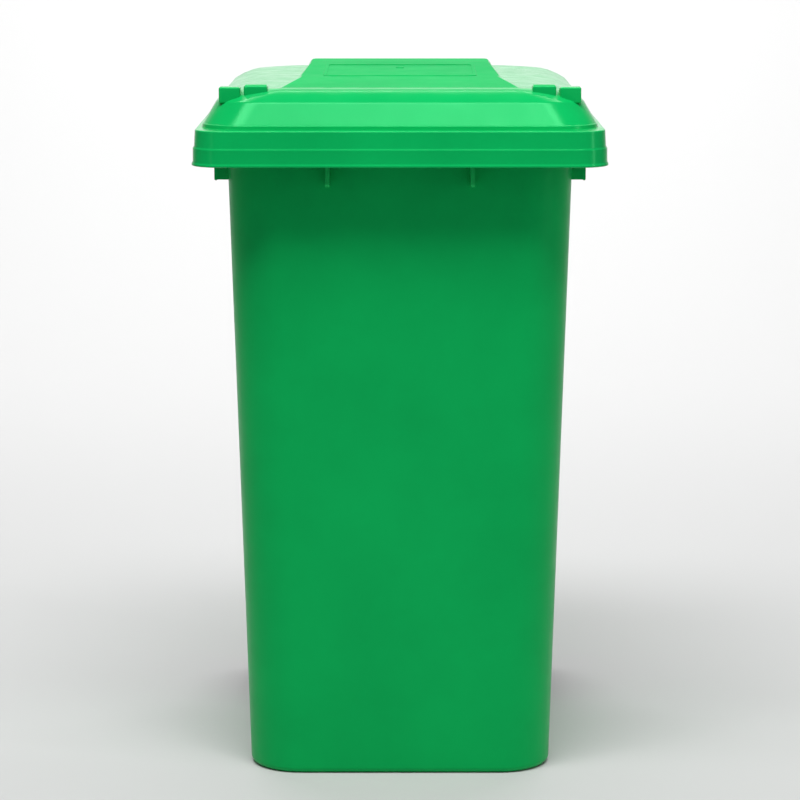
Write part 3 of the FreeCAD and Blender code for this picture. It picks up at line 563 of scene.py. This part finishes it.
def tub_outline(level, inset=0.0):
    """Half width, front, rear and corner of the tapering tub at a height."""
    sizes = bpy.context.scene.bin_tub
    share = 1.0 - level / RIM_TOP
    half = LID_HIGH.x - TUB_SIDE - sizes.side_taper * share
    front = CAD_LOW.y + TUB_FRONT + sizes.end_taper * share
    rear = HINGE.y - TUB_REAR - sizes.end_taper * share
    return half - inset, front + inset, rear - inset, sizes.corner - inset


def collar_outline(inset=0.0):
    """The collar's outline, inset by a wall."""
    sizes = bpy.context.scene.bin_tub
    half, front, rear, corner = tub_outline(RIM_TOP)
    return (
        half + sizes.collar_side - inset, front - sizes.collar_front + inset,
        rear + sizes.collar_rear - inset, corner + sizes.collar_rear - inset,
    )


def recess_outline(grown=0.0):
    """The wheel recess seen from the side, grown by a wall."""
    sizes = bpy.context.scene.bin_tub
    front = AXLE.y - WHEEL_RADIUS - sizes.recess_gap - grown
    top = 2 * WHEEL_RADIUS + sizes.recess_gap + grown
    slope = sizes.recess_gap * 3
    behind = BODY_HIGH.y + 0.05
    return [(front, -0.02), (behind, -0.02), (behind, top), (front + slope, top), (front, top - slope)]


def tub_shell():
    """The tub, rim flange and hollow collar as one closed shell, with the wheel recess cut in."""
    sizes = bpy.context.scene.bin_tub
    flange = RIM_TOP - sizes.wall
    low = RIM_TOP - sizes.collar_drop
    half, front, _, corner = tub_outline(0.0, sizes.foot_width)
    recess_front = recess_outline()[0][0]
    foot = (half, front, recess_front - sizes.foot_width, corner)
    edge = (BODY_HIGH.x, BODY_LOW.y, HINGE.y - FLANGE_REAR, sizes.corner - 0.010)
    rings = [
        (sizes.foot_depth, *foot, 0.0),
        (0.0, *foot, 0.0015),
        (0.0, *tub_outline(0.0), sizes.foot_round),
        (flange, *tub_outline(flange), 0.0),
        (flange, *collar_outline(sizes.wall), 0.0),
        (low, *collar_outline(sizes.wall), 0.001),
        (low, *collar_outline(), 0.0018),
        (flange, *collar_outline(), 0.0),
        (flange, *edge, 0.0012),
        (RIM_TOP, *edge, 0.0012),
        (RIM_TOP, *tub_outline(RIM_TOP, sizes.wall), 0.0015),
        (sizes.floor, *tub_outline(sizes.floor, sizes.wall), 0.018),
    ]
    shell = stack_rings(rings)
    solid = stack_rings([
        (0.0005, *tub_outline(0.0, 0.0006), 0.0),
        (flange, *tub_outline(flange, 0.0006), 0.0),
    ])
    width = BODY_HIGH.x * 2.2
    skin = combine(solid, prism(recess_outline(sizes.wall), -width / 2, width), "INTERSECT")
    shell = combine(shell, skin, "UNION")
    shell = combine(shell, prism(recess_outline(), -width / 2, width), "DIFFERENCE")
    return combine(shell, comb_opening(), "DIFFERENCE")


def side_collar_front():
    """Where the deep collars along the sides begin."""
    return tub_outline(RIM_TOP)[1] + bpy.context.scene.bin_tub.corner


def comb_opening():
    """The space under the front lip, clear of the tub's wall."""
    half, front, rear, corner = tub_outline(RIM_TOP)
    lip = LID_LOW.z + bpy.context.scene.bin_tub.lip_cover
    low = RIM_TOP - bpy.context.scene.bin_tub.collar_drop - 0.010
    room = block((-BODY_HIGH.x, BODY_LOW.y, low), (BODY_HIGH.x, side_collar_front(), lip))
    clear = (half + 0.007, front - 0.011, rear, corner + 0.006, 0.0)
    core = stack_rings([(low - 0.01, *clear), (lip + 0.01, *clear)])
    return combine(room, core, "DIFFERENCE")


def rim_ribs():
    """Ribs under the rim: two in front for the lifting comb, three in each side's collar."""
    sizes = bpy.context.scene.bin_tub
    half, front, rear, corner = tub_outline(RIM_TOP)
    low = RIM_TOP - sizes.collar_drop
    high = RIM_TOP - sizes.wall / 2
    thick = sizes.rib / 2
    near = front - sizes.collar_front + sizes.wall / 2
    ribs = []
    for side in (-1, 1):
        middle = sizes.comb_spread / 2 * side
        rib = prism([
            (near, low + 0.004), (near + 0.004, low), (front + sizes.wall, low),
            (front + sizes.wall, high), (near, high),
        ], middle - thick, thick * 2)
        ribs.append(rib)
        first, last = side_collar_front() + thick, rear - corner
        for along in (first, (first + last) / 2, last):
            inner, outer = half - sizes.wall / 2, half + sizes.collar_side - sizes.wall / 2
            start, end = span(inner, outer, side)
            ribs.append(block((start, along - thick + 0.0002, low + 0.001), (end, along + thick, high)))
    return joined(ribs)


def hinge_places():
    """Inboard faces of the inner, middle and outer handle brackets."""
    sizes = bpy.context.scene.bin_tub
    inner = PIN_LOW.x + PIN_HEAD
    middle = inner + sizes.bracket + bpy.context.scene.bin_lid.arm_width + HINGE_PLAY * 2
    return inner, middle, middle + sizes.bracket + GRIP_LENGTH


def handle_webs():
    """The webs of the handle brackets."""
    sizes = bpy.context.scene.bin_tub
    _, _, rear, corner = tub_outline(RIM_TOP)
    inner, middle, outer = hinge_places()
    near, far = rear - sizes.wall / 2, rear - corner / 2
    webs = []
    for _, side in SIDES:
        for place, root in ((inner, near), (middle, near), (outer, far)):
            start = slab_start(place, sizes.bracket, side)
            webs.append(prism([
                (root, RIM_TOP - sizes.collar_drop + sizes.wall),
                (HINGE.y, HINGE.z - sizes.grip_radius),
                (HINGE.y, HINGE.z + 0.011),
                (root, RIM_TOP - sizes.wall - 0.002),
            ], start, sizes.bracket))
    return joined(webs)


def handle_grips():
    """The two ringed grips and the eyes of the inner brackets."""
    sizes = bpy.context.scene.bin_tub
    inner, middle, outer = hinge_places()
    radius = sizes.grip_radius
    start, end = middle, outer + sizes.bracket
    first, last = start + GRIP_END, end - GRIP_END
    pitch = (last - first) / GRIP_RINGS
    outline = [(start, 0.0, 0.0), (start, radius, 0.002)]
    for i in range(GRIP_RINGS):
        left = first + pitch * i
        outline += [
            (left, radius, 0.0), (left + pitch * 0.12, radius - sizes.grip_groove, 0.0),
            (left + pitch * 0.38, radius - sizes.grip_groove, 0.0), (left + pitch * 0.5, radius, 0.0),
        ]
    outline += [(end, radius, 0.002), (end, 0.0, 0.0)]
    line = Vector((0.0, HINGE.y, HINGE.z))
    bars = []
    for _, side in SIDES:
        bars.append(turned(mirrored(outline, side), line, steps=48, closed=False))
        eye = [(inner, 0.0, 0.0), (inner, radius, 0.001),
               (inner + sizes.bracket, radius, 0.001), (inner + sizes.bracket, 0.0, 0.0)]
        bars.append(turned(mirrored(eye, side), line, steps=48, closed=False))
    return joined(bars)


def axle_carriers():
    """Plates in the wheel recess that hold the axle."""
    sizes = bpy.context.scene.bin_tub
    front, top = recess_outline()[0][0], recess_outline()[2][1]
    boss = 0.024
    plates = []
    for _, side in SIDES:
        for place in (SPACER_LOW.x - sizes.carrier, INNER_CARRIER):
            start = slab_start(place, sizes.carrier, side)
            plates.append(prism([
                (front - sizes.wall / 2, top + sizes.wall / 2),
                (front - sizes.wall / 2, AXLE.z - boss),
                (AXLE.y, AXLE.z - boss),
                (AXLE.y + boss, AXLE.z),
                (AXLE.y + sizes.wall, top + sizes.wall / 2),
            ], start, sizes.carrier))
    return joined(plates)


class BIN_OT_tub(bpy.types.Operator):
    """Build the moulded body with its rim, grips and axle carriers"""

    bl_idname = "bin.tub"
    bl_label = "Tub"

    def execute(self, context):
        tub = tub_shell()
        for added in (rim_ribs, handle_webs, handle_grips, axle_carriers):
            tub = combine(tub, added(), "UNION")
        tub = combine(tub, rod(AXLE_BORE, -SPACER_LOW.x - 0.01, SPACER_LOW.x + 0.01, AXLE), "DIFFERENCE")
        seats = [
            rod(PIN_RADIUS, *span(PIN_LOW.x + 0.003, PIN_HIGH.x, side), HINGE)
            for _, side in SIDES
        ]
        tub = combine(tub, joined(seats), "DIFFERENCE")
        finish_piece(
            tub, "tub_moulding", "bin", ["tub_plastic"], ["bin_body"],
        )
        return {"FINISHED"}


# --- lid


def lid_outline(lean=0.0, front_lean=None, inset=0.0, band=False):
    """Half width, front, rear and corner of the lid's skirt or band, leaning in."""
    sizes = bpy.context.scene.bin_lid
    front_lean = lean if front_lean is None else front_lean
    half, front, rear = LID_HIGH.x, LID_LOW.y, HINGE.y - LID_REAR
    corner = sizes.corner - lean
    if band:
        half -= sizes.skirt_step * 2 + sizes.ledge_side
        front += sizes.skirt_step * 2 + sizes.ledge_front
        rear -= sizes.ledge_side
        corner = sizes.band_corner
    return half - lean - inset, front + front_lean + inset, rear - lean - inset, corner - inset


def lid_heights():
    """Heights of the ledge, the band's top and the crown's top."""
    sizes = bpy.context.scene.bin_lid
    ledge = LID_LOW.z + sizes.skirt_depth
    band = ledge + sizes.band_height
    return ledge, band, band + sizes.crown_height


def crown_rings(inset=0.0):
    """Rings of the band and the crowned top, lowered and inset for the inside."""
    sizes = bpy.context.scene.bin_lid
    ledge, band, crown = lid_heights()
    soft = 1.0 if inset == 0 else 0.5
    tiers = [
        (ledge, 0.0, 0.0, 0.0012),
        (ledge + sizes.plinth, 0.0008, 0.0008, 0.0010),
        (ledge + sizes.plinth + 0.0006, 0.0022, 0.0022, 0.0),
        (band, sizes.band_slope, sizes.band_slope, 0.0018),
    ]
    for run in (0.3, 0.6, 0.8, 1.0):
        rise = 1 - (1 - run) ** 1.7
        tiers.append((
            band + sizes.crown_step * rise, sizes.band_slope + sizes.crown_side * run,
            sizes.band_slope + sizes.crown_front * run, 0.0,
        ))
    tiers.append((
        crown, sizes.band_slope + sizes.crown_side * 1.4,
        sizes.band_slope + sizes.crown_front + sizes.crown_ramp, 0.0,
    ))
    return [
        (height - inset, *lid_outline(lean, front_lean, inset, True), rounding * soft)
        for height, lean, front_lean, rounding in tiers
    ]


def hump_ends(inset=0.0):
    """Where the hump begins and ends along Y."""
    sizes = bpy.context.scene.bin_lid
    band = lid_outline(band=True)
    front = band[1] + sizes.band_slope + sizes.crown_front - 0.004
    rear = HINGE.y - LID_REAR - sizes.band_slope - sizes.crown_height
    return front + inset, rear - inset


def hump(inset=0.0):
    """The raised hump: a ramp that narrows from its foot, flat on top, sloping down behind."""
    sizes = bpy.context.scene.bin_lid
    _, band, _ = lid_heights()
    foot = band + 0.004 - inset * 0.5
    top = LID_HIGH.z - inset
    low = band + sizes.crown_step - inset
    front, rear = hump_ends(inset)
    wide, narrow = sizes.hump_foot - inset, sizes.hump_crest - inset
    flare = narrow + sizes.hump_flare
    middle = low + (top - low) * RAMP_RISE
    stations = (
        (front, wide, wide - 0.006, low),
        (
            front + sizes.hump_ramp * RAMP_RUN,
            (wide + flare) / 2 - 0.006, (wide + narrow) / 2 - 0.012, middle,
        ),
        (front + sizes.hump_ramp, flare, narrow, top),
        (rear - sizes.hump_back, flare, narrow, top),
        (rear, flare, narrow, low),
    )
    bm = bmesh.new()
    loops = []
    for y, base, crest, height in stations:
        corners = [bm.verts.new(c) for c in (
            (-base, y, foot), (base, y, foot), (crest, y, height), (-crest, y, height)
        )]
        loops.append([bm.edges.new((corners[i - 1], corners[i])) for i in range(4)])
    for one, two in zip(loops, loops[1:]):
        bmesh.ops.bridge_loops(bm, edges=one + two)
    for end in (loops[0], loops[-1]):
        bmesh.ops.edgeloop_fill(bm, edges=end)
    turn_outward(bm)
    if inset == 0:
        crests = [e for e in bm.edges if all(v.co.z > foot + 0.001 for v in e.verts)]
        round_edges(bm, crests, 0.006, 4)
    return bm


def panel_frame():
    """A thin raised frame on the hump's ramp, with a round gate mark."""
    sizes = bpy.context.scene.bin_lid
    _, band, _ = lid_heights()
    low = band + sizes.crown_step
    rise = LID_HIGH.z - low
    slope = math.atan2(rise * (1 - RAMP_RISE), sizes.hump_ramp * (1 - RAMP_RUN))
    half_width, half_length, line, corner = 0.112, 0.092, 0.005, 0.012
    under, proud = -0.0020, 0.0010
    outline = (half_width, -half_length, half_length, corner)
    opening = (half_width - line, line - half_length, half_length - line, corner - line)
    frame_bar = combine(
        stack_rings([(under, *outline, 0.0), (proud, *outline, 0.0006)]),
        stack_rings([(under - 0.001, *opening, 0.0), (proud + 0.001, *opening, 0.0)]),
        "DIFFERENCE",
    )
    mark = bmesh.new()
    bmesh.ops.create_cone(
        mark, cap_ends=True, segments=24,
        radius1=GATE_RADIUS, radius2=GATE_RADIUS - 0.001, depth=proud - under,
        matrix=Matrix.Translation((0, half_length * 0.45, (proud + under) / 2)),
    )
    both = joined([frame_bar, mark])
    share = 0.66
    height = low + rise * (RAMP_RISE + (1 - RAMP_RISE) * (share - RAMP_RUN) / (1 - RAMP_RUN))
    place = Vector((0, hump_ends()[0] + sizes.hump_ramp * share, height))
    placed = Matrix.Translation(place) @ Matrix.Rotation(slope, 4, "X")
    bmesh.ops.transform(both, matrix=placed, verts=both.verts)
    return both


def grip_lugs():
    """Moulded lugs on the lid's front corners, the inner ones broader and a little higher."""
    sizes = bpy.context.scene.bin_lid
    _, band, _ = lid_heights()
    half, front, _, corner = lid_outline(sizes.band_slope, band=True)
    front += corner / 3
    lugs = []
    for _, side in SIDES:
        for inner, outer, height in (
            (half - 0.035, half - 0.005, sizes.lug_height),
            (half - 0.073, half - 0.040, sizes.lug_height + 0.002),
        ):
            start, end = span(inner, outer, side)
            far = (end, front + LUG_LENGTH, band + height)
            lugs.append(block((start, front, band - 0.003), far, 0.0025))
    return joined(lugs)


def lid_arms():
    """Webs of the two hinge arms behind the lid."""
    sizes = bpy.context.scene.bin_lid
    tub = bpy.context.scene.bin_tub
    ledge, band, _ = lid_heights()
    root = HINGE.y - LID_REAR - sizes.ledge_side - sizes.band_slope
    start = hinge_places()[0] + tub.bracket + HINGE_PLAY
    webs = []
    for _, side in SIDES:
        webs.append(prism([
            (root, ledge - sizes.wall),
            (HINGE.y - tub.grip_radius, HINGE.z),
            (HINGE.y, HINGE.z + tub.grip_radius),
            (root, band - sizes.wall),
        ], slab_start(start, sizes.arm_width, side), sizes.arm_width))
    return joined(webs)


def arm_rods(radius, extra=0.0):
    """A rod through each hinge arm."""
    start = hinge_places()[0] + bpy.context.scene.bin_tub.bracket + HINGE_PLAY
    end = start + bpy.context.scene.bin_lid.arm_width
    return joined([
        rod(radius, *span(start - extra, end + extra, side), HINGE)
        for _, side in SIDES
    ])


class BIN_OT_lid(bpy.types.Operator):
    """Build the moulded lid with its hump, grip lugs and hinge arms"""

    bl_idname = "bin.lid"
    bl_label = "Lid"

    def execute(self, context):
        sizes = context.scene.bin_lid
        ledge, _, _ = lid_heights()
        step = sizes.skirt_step
        middle = LID_LOW.z + sizes.skirt_depth / 2
        skirt = [
            (LID_LOW.z, *lid_outline(), 0.0012),
            (LID_LOW.z + 0.0028, *lid_outline(), 0.0008),
            (LID_LOW.z + 0.0058, *lid_outline(0.0016), 0.0),
            (middle - 0.0010, *lid_outline(0.0018), 0.0008),
            (middle + 0.0020, *lid_outline(step + 0.0012), 0.0),
            (ledge, *lid_outline(step * 2), 0.0034),
        ]
        lid = stack_rings(skirt + crown_rings())
        for added in (hump, panel_frame, grip_lugs):
            lid = combine(lid, added(), "UNION")
        inside = step * 2 + sizes.wall
        hollow = [
            (LID_LOW.z - 0.001, *lid_outline(0.0, inset=inside), 0.0),
            (ledge - sizes.wall, *lid_outline(0.0, inset=inside), 0.0015),
        ]
        lid = combine(lid, stack_rings(hollow + crown_rings(sizes.wall)), "DIFFERENCE")
        lid = combine(lid, hump(sizes.wall), "DIFFERENCE")
        cut = hinge_places()[2] + context.scene.bin_tub.bracket + 0.010
        rear = HINGE.y - LID_REAR
        lid = combine(
            lid, block((-cut, rear - 0.016, LID_LOW.z - 0.001), (cut, rear + 0.004, ledge - sizes.wall)),
            "DIFFERENCE",
        )
        lid = combine(lid, lid_arms(), "UNION")
        lid = combine(lid, arm_rods(context.scene.bin_tub.grip_radius), "UNION")
        lid = combine(lid, arm_rods(0.0061, 0.001), "DIFFERENCE")
        for face in lid.faces:
            if face.normal.z > 0.9 and face.calc_center_median().z > LID_HIGH.z - HUMP_SKIN:
                face.material_index = 1
        finish_piece(
            lid, "lid_moulding", "lid",
            ["lid_glossy", "lid_grained"], ["lid"],
        )
        return {"FINISHED"}


# --- wheels


class BIN_OT_wheels(bpy.types.Operator):
    """Build the tyres, wheel centres and hub caps"""

    bl_idname = "bin.wheels"
    bl_label = "Wheels"

    def execute(self, context):
        for name, side in SIDES:
            centre = Vector((WHEEL_MIDDLE * side, AXLE.y, AXLE.z))
            self.tyre(name, side, centre)
            self.centre(name, side, centre)
            self.cap(name, side, centre)
        return {"FINISHED"}

    def tyre(self, name, side, centre):
        """A solid tyre with three grooves in its tread and a raised ring on each wall."""
        sizes = bpy.context.scene.bin_wheels
        half = (TYRE_HIGH.x - TYRE_LOW.x) / 2
        rim = WHEEL_RADIUS - sizes.tyre_depth
        lip, seat = rim - sizes.rim / 2, half - sizes.rim
        outline = [
            (-half, lip, 0.001), (-seat, lip, 0.0), (-seat, rim, 0.0), (seat, rim, 0.0),
            (seat, lip, 0.0), (half, lip, 0.001),
        ]
        wall = [
            (half, rim + 0.004, 0.0008), (half - 0.001, rim + 0.005, 0.0),
            (half - 0.001, rim + 0.011, 0.0), (half, rim + 0.012, 0.0008),
            (half, WHEEL_RADIUS - 0.001, 0.0085),
        ]
        outline += wall
        for groove in (0.011, 0.0, -0.011):
            outline += [
                (groove + 0.0022, WHEEL_RADIUS, 0.0), (groove + 0.0012, WHEEL_RADIUS - GROOVE_DEPTH, 0.0),
                (groove - 0.0012, WHEEL_RADIUS - GROOVE_DEPTH, 0.0), (groove - 0.0022, WHEEL_RADIUS, 0.0),
            ]
        outline += mirrored(wall, -1)[::-1]
        bm = turned(mirrored(outline, side), centre, steps=128)
        finish_piece(
            bm, f"tyre_ring_{name}", f"wheel_{name}", ["solid_rubber"],
            [f"tyre_{name}"],
        )

    def centre(self, name, side, centre):
        """The moulded hub, ribbed web with windows, and rim."""
        sizes = bpy.context.scene.bin_wheels
        hub_end = (HUB_HIGH.x - HUB_LOW.x) / 2
        rim = WHEEL_RADIUS - sizes.tyre_depth
        inner = rim - sizes.rim
        rim_half = (TYRE_HIGH.x - TYRE_LOW.x) / 2 - sizes.rim
        web, hub, bore = sizes.rim / 2, sizes.hub_radius, sizes.bore_radius
        outline = [
            (-hub_end, bore, 0.0008), (hub_end, bore, 0.0008), (hub_end, hub, 0.001),
            (web, hub, 0.003), (web, inner, 0.003), (rim_half, inner, 0.001), (rim_half, rim, 0.0),
            (-rim_half, rim, 0.0), (-rim_half, inner, 0.001), (-web, inner, 0.003),
            (-web, hub, 0.003), (-hub_end, hub, 0.001),
        ]
        bm = turned(mirrored(outline, side), centre)
        ribs, holes = [], []
        for i in range(sizes.windows):
            angle = 2 * math.pi * (i + 0.5) / sizes.windows
            rib = block((-rim_half + 0.004, -0.002, hub - 0.002), (-web + 0.001, 0.002, inner + 0.002))
            spin = Matrix.Translation(centre) @ Matrix.Rotation(angle, 4, "X")
            if side < 0:
                spin = spin @ Matrix.Rotation(math.pi, 4, "Z")
            bmesh.ops.transform(rib, matrix=spin, verts=rib.verts)
            ribs.append(rib)
            angle = 2 * math.pi * i / sizes.windows
            reach = (inner + sizes.cap_radius) / 2
            place = centre + Vector((0, math.sin(angle), math.cos(angle))) * reach
            holes.append(rod(sizes.window_radius, centre.x - 0.01, centre.x + 0.01, place, 32))
        bm = combine(bm, joined(ribs), "UNION")
        bm = combine(bm, joined(holes), "DIFFERENCE")
        bm = combine(bm, self.lock_boss(side, centre), "UNION")
        bm = combine(bm, self.lock_bore(side, centre), "DIFFERENCE")
        finish_piece(
            bm, f"wheel_moulding_{name}", f"wheel_{name}", ["dark_nylon"],
            [f"wheel_centre_{name}"],
        )

    def lock_boss(self, side, centre):
        """The square boss on the hub that houses the sprung lock pin."""
        sizes = bpy.context.scene.bin_wheels
        half = (LOCK_HIGH.x - LOCK_LOW.x) / 2 + sizes.cap_wall
        reach = LOCK_OFFSET + half
        top = SPRING_HIGH.z - AXLE.z + sizes.cap_wall
        start, end = span(0.0, reach, side)
        return block(
            centre + Vector((start, -half, sizes.hub_radius - 0.002)),
            centre + Vector((end, half, top)),
        )

    def lock_bore(self, side, centre):
        """The stepped bore for the lock pin, its collar and its spring."""
        collar = (LOCK_HIGH.x - LOCK_LOW.x) / 2
        room = 0.0002
        middle = centre + Vector((LOCK_OFFSET * side, 0, 0))
        low = bpy.context.scene.bin_wheels.bore_radius - 0.002
        step = LOCK_HIGH.z - AXLE.z - 0.002
        top = SPRING_HIGH.z - AXLE.z + room
        shank = collar - 0.0012
        outline = [
            (low, 0.0, 0.0), (low, shank + room, 0.0), (step, shank + room, 0.0),
            (step, collar + room, 0.0), (top, collar + room, 0.0), (top, 0.0, 0.0),
        ]
        return turned(outline, middle, steps=32, direction="Z", closed=False)

    def cap(self, name, side, centre):
        """A dished hub cap with raised rings."""
        sizes = bpy.context.scene.bin_wheels
        outside = CAP_HIGH.x - WHEEL_MIDDLE
        inside = outside - sizes.cap_wall
        radius, wall = sizes.cap_radius, sizes.cap_wall
        outline = [
            (inside, 0.0, 0.0), (outside - 0.0012, 0.0, 0.0), (outside - 0.0012, 0.013, 0.0004),
            (outside, 0.014, 0.0006), (outside, 0.0175, 0.0006), (outside - 0.0012, 0.0185, 0.0004),
            (outside - 0.0012, 0.029, 0.0004), (outside, 0.030, 0.0006), (outside, radius - 0.006, 0.002),
            (outside - 0.004, radius, 0.002), (sizes.rim / 2, radius, 0.0005),
            (sizes.rim / 2, radius - wall, 0.0), (inside, radius - wall - 0.004, 0.0),
        ]
        bm = turned(mirrored(outline, side), centre, steps=80, closed=False)
        finish_piece(
            bm, f"hub_cap_moulding_{name}", f"wheel_{name}", ["dark_nylon"],
            [f"hub_cap_{name}"],
        )


# --- small parts


class BIN_OT_fittings(bpy.types.Operator):
    """Build the axle, hinge pins and lid buffers, and finish the hidden parts"""

    bl_idname = "bin.fittings"
    bl_label = "Fittings"

    def execute(self, context):
        self.axle()
        for name, side in SIDES:
            self.hinge_pin(name, side)
            self.buffer(name, side)
        kept = (
            ("hub_bush", "bush_nylon"), ("lock_pin", "plated_steel"),
            ("lock_spring", "plated_steel"), ("axle_spacer", "dark_nylon"),
        )
        for stem, finish in kept:
            for name, _ in SIDES:
                node = frame["nodes"][f"{stem}_{name}"]
                for slot in node.material_slots:
                    slot.material = finishes()[finish]
        return {"FINISHED"}

    def axle(self):
        """The plated rod with a groove near each end."""
        radius, end = (AXLE_HIGH.z - AXLE_LOW.z) / 2, AXLE_HIGH.x
        groove, half = WHEEL_MIDDLE + 0.013, 0.0028
        right = [
            (groove - half, radius, 0.0004), (groove - half, radius - 0.002, 0.0004),
            (groove + half, radius - 0.002, 0.0004), (groove + half, radius, 0.0004),
            (end, radius, 0.0012),
        ]
        left = mirrored(right, -1)[::-1]
        outline = [(-end, 0.0, 0.0), *left, *right, (end, 0.0, 0.0)]
        line = Vector((0.0, AXLE.y, AXLE.z))
        bm = turned(outline, line, steps=48, closed=False)
        finish_piece(bm, "axle_rod", "bin", ["plated_steel"], ["axle"])

    def hinge_pin(self, name, side):
        """A headed nylon pin with a domed head and a tapered tip."""
        tip, head = PIN_HIGH.x, PIN_LOW.x
        seat = head + PIN_HEAD
        radius = (PIN_HIGH.z - PIN_LOW.z) / 2
        outline = [
            (head, 0.0, 0.0), (head, radius - 0.002, 0.0015), (seat, radius, 0.0006),
            (seat, PIN_RADIUS, 0.0), (tip - 0.0015, PIN_RADIUS, 0.0005),
            (tip, 0.0045, 0.0), (tip, 0.0, 0.0),
        ]
        line = Vector((0.0, HINGE.y, HINGE.z))
        bm = turned(mirrored(outline, side), line, steps=48, closed=False)
        finish_piece(
            bm, f"hinge_pin_shank_{name}", "bin", ["dark_nylon"],
            [f"hinge_pin_{name}"],
        )

    def buffer(self, name, side):
        """A rubber buffer with a barbed stem through the rim flange."""
        radius = (BUFFER_HIGH.x - BUFFER_LOW.x) / 2
        middle = (BUFFER_HIGH + BUFFER_LOW) / 2
        centre = Vector((middle.x * side, middle.y, 0.0))
        stem, low = radius / 2, BUFFER_LOW.z
        outline = [
            (low, 0.0, 0.0), (low, stem + 0.0002, 0.0004), (low + 0.003, stem + 0.001, 0.0002),
            (low + 0.003, stem, 0.0), (RIM_TOP, stem, 0.0), (RIM_TOP, radius, 0.0006),
            (BUFFER_HIGH.z, radius - 0.0004, 0.0014), (BUFFER_HIGH.z, 0.0, 0.0),
        ]
        bm = turned(outline, centre, steps=32, direction="Z", closed=False)
        finish_piece(
            bm, f"buffer_{name}", "bin", ["solid_rubber"],
            [f"lid_buffer_{name}"],
        )


# --- stage


class BIN_OT_stage(bpy.types.Operator):
    """Build the floor, the lights and the camera"""

    bl_idname = "bin.stage"
    bl_label = "Stage"

    def execute(self, context):
        self.floor()
        self.lights()
        self.camera()
        context.scene.view_settings.view_transform = "Standard"
        return {"FINISHED"}

    def floor(self):
        """A pale floor that sweeps up behind."""
        bm = bmesh.new()
        profile = [bm.verts.new((-9.0, y, z)) for y, z in ((-9.0, 0.0), (6.0, 0.0), (6.0, 9.0))]
        for pair in zip(profile, profile[1:]):
            bm.edges.new(pair)
        round_corners(bm, [profile[1]], 2.5, 24)
        push_out(bm, bmesh.ops.extrude_edge_only(bm, edges=list(bm.edges)), (18.0, 0, 0))
        mesh = smooth_mesh(bm, "studio_floor")
        material, _, shader = new_material("studio_floor")
        set_values(shader, Base_Color=(*bpy.context.scene.bin_colours.floor, 1.0), Roughness=0.75)
        mesh.materials.append(material)
        place_object("studio_floor", mesh)

    def aim(self, name, data, place, target):
        """A lamp or camera at a place, aimed at a target."""
        holder = place_object(name, data)
        holder.location = place
        line = Vector(target) - Vector(place)
        holder.rotation_euler = line.to_track_quat("-Z", "Y").to_euler()
        return holder

    def lights(self):
        """A high softbox in front, upright strips at the sides, a lit backdrop and a pale surround."""
        for name, place, target, size, power in LIGHTS:
            lamp = bpy.data.lights.new(name, "AREA")
            lamp.shape = "RECTANGLE"
            lamp.size, lamp.size_y = size
            lamp.energy = power
            self.aim(name, lamp, place, target)
        world = bpy.data.worlds.new("surround")
        world.use_nodes = True
        backdrop = world.node_tree.nodes["Background"]
        set_values(backdrop, Color=(1.0, 1.0, 1.0, 1.0), Strength=SURROUND)
        bpy.context.scene.world = world

    def camera(self):
        """A long lens a little above the lid, in front of the bin."""
        lens = bpy.data.cameras.new("camera")
        lens.lens = CAMERA_LENS
        lens.clip_end = 60.0
        eye = (0.0, CAD_LOW.y - CAMERA_AWAY, CAMERA_HEIGHT)
        middle = (0.0, 0.0, (CAD_LOW.z + CAD_HIGH.z) / 2)
        bpy.context.scene.camera = self.aim("camera", lens, eye, middle)


class BIN_PT_panel(bpy.types.Panel):
    """Lists the bin's operators"""

    bl_idname = "BIN_PT_panel"
    bl_label = "Wheeled Refuse Bin"
    bl_space_type = "VIEW_3D"
    bl_region_type = "UI"
    bl_category = "Bin"

    def draw(self, context):
        for operator in OPERATORS:
            self.layout.operator(operator.bl_idname)
        for group in ("bin_tub", "bin_lid", "bin_wheels", "bin_colours"):
            box = self.layout.box()
            settings = getattr(context.scene, group)
            for name in settings.bl_rna.properties.keys():
                if name not in ("rna_type", "name"):
                    box.prop(settings, name)


OPERATORS = (BIN_OT_stage, BIN_OT_tub, BIN_OT_lid, BIN_OT_wheels, BIN_OT_fittings)
GROUPS = {
    "bin_tub": BinTubSizes,
    "bin_lid": BinLidSizes,
    "bin_wheels": BinWheelSizes,
    "bin_colours": BinColours,
}


def register():
    for name, group in GROUPS.items():
        bpy.utils.register_class(group)
        setattr(bpy.types.Scene, name, bpy.props.PointerProperty(type=group))
    for item in (*OPERATORS, BIN_PT_panel):
        bpy.utils.register_class(item)


def unregister():
    for item in reversed((*OPERATORS, BIN_PT_panel)):
        bpy.utils.unregister_class(item)
    for name, group in GROUPS.items():
        delattr(bpy.types.Scene, name)
        bpy.utils.unregister_class(group)


def main():
    register()
    bpy.ops.bin.stage()
    bpy.ops.bin.tub()
    bpy.ops.bin.lid()
    bpy.ops.bin.wheels()
    bpy.ops.bin.fittings()


if __name__ == "__main__":
    main()
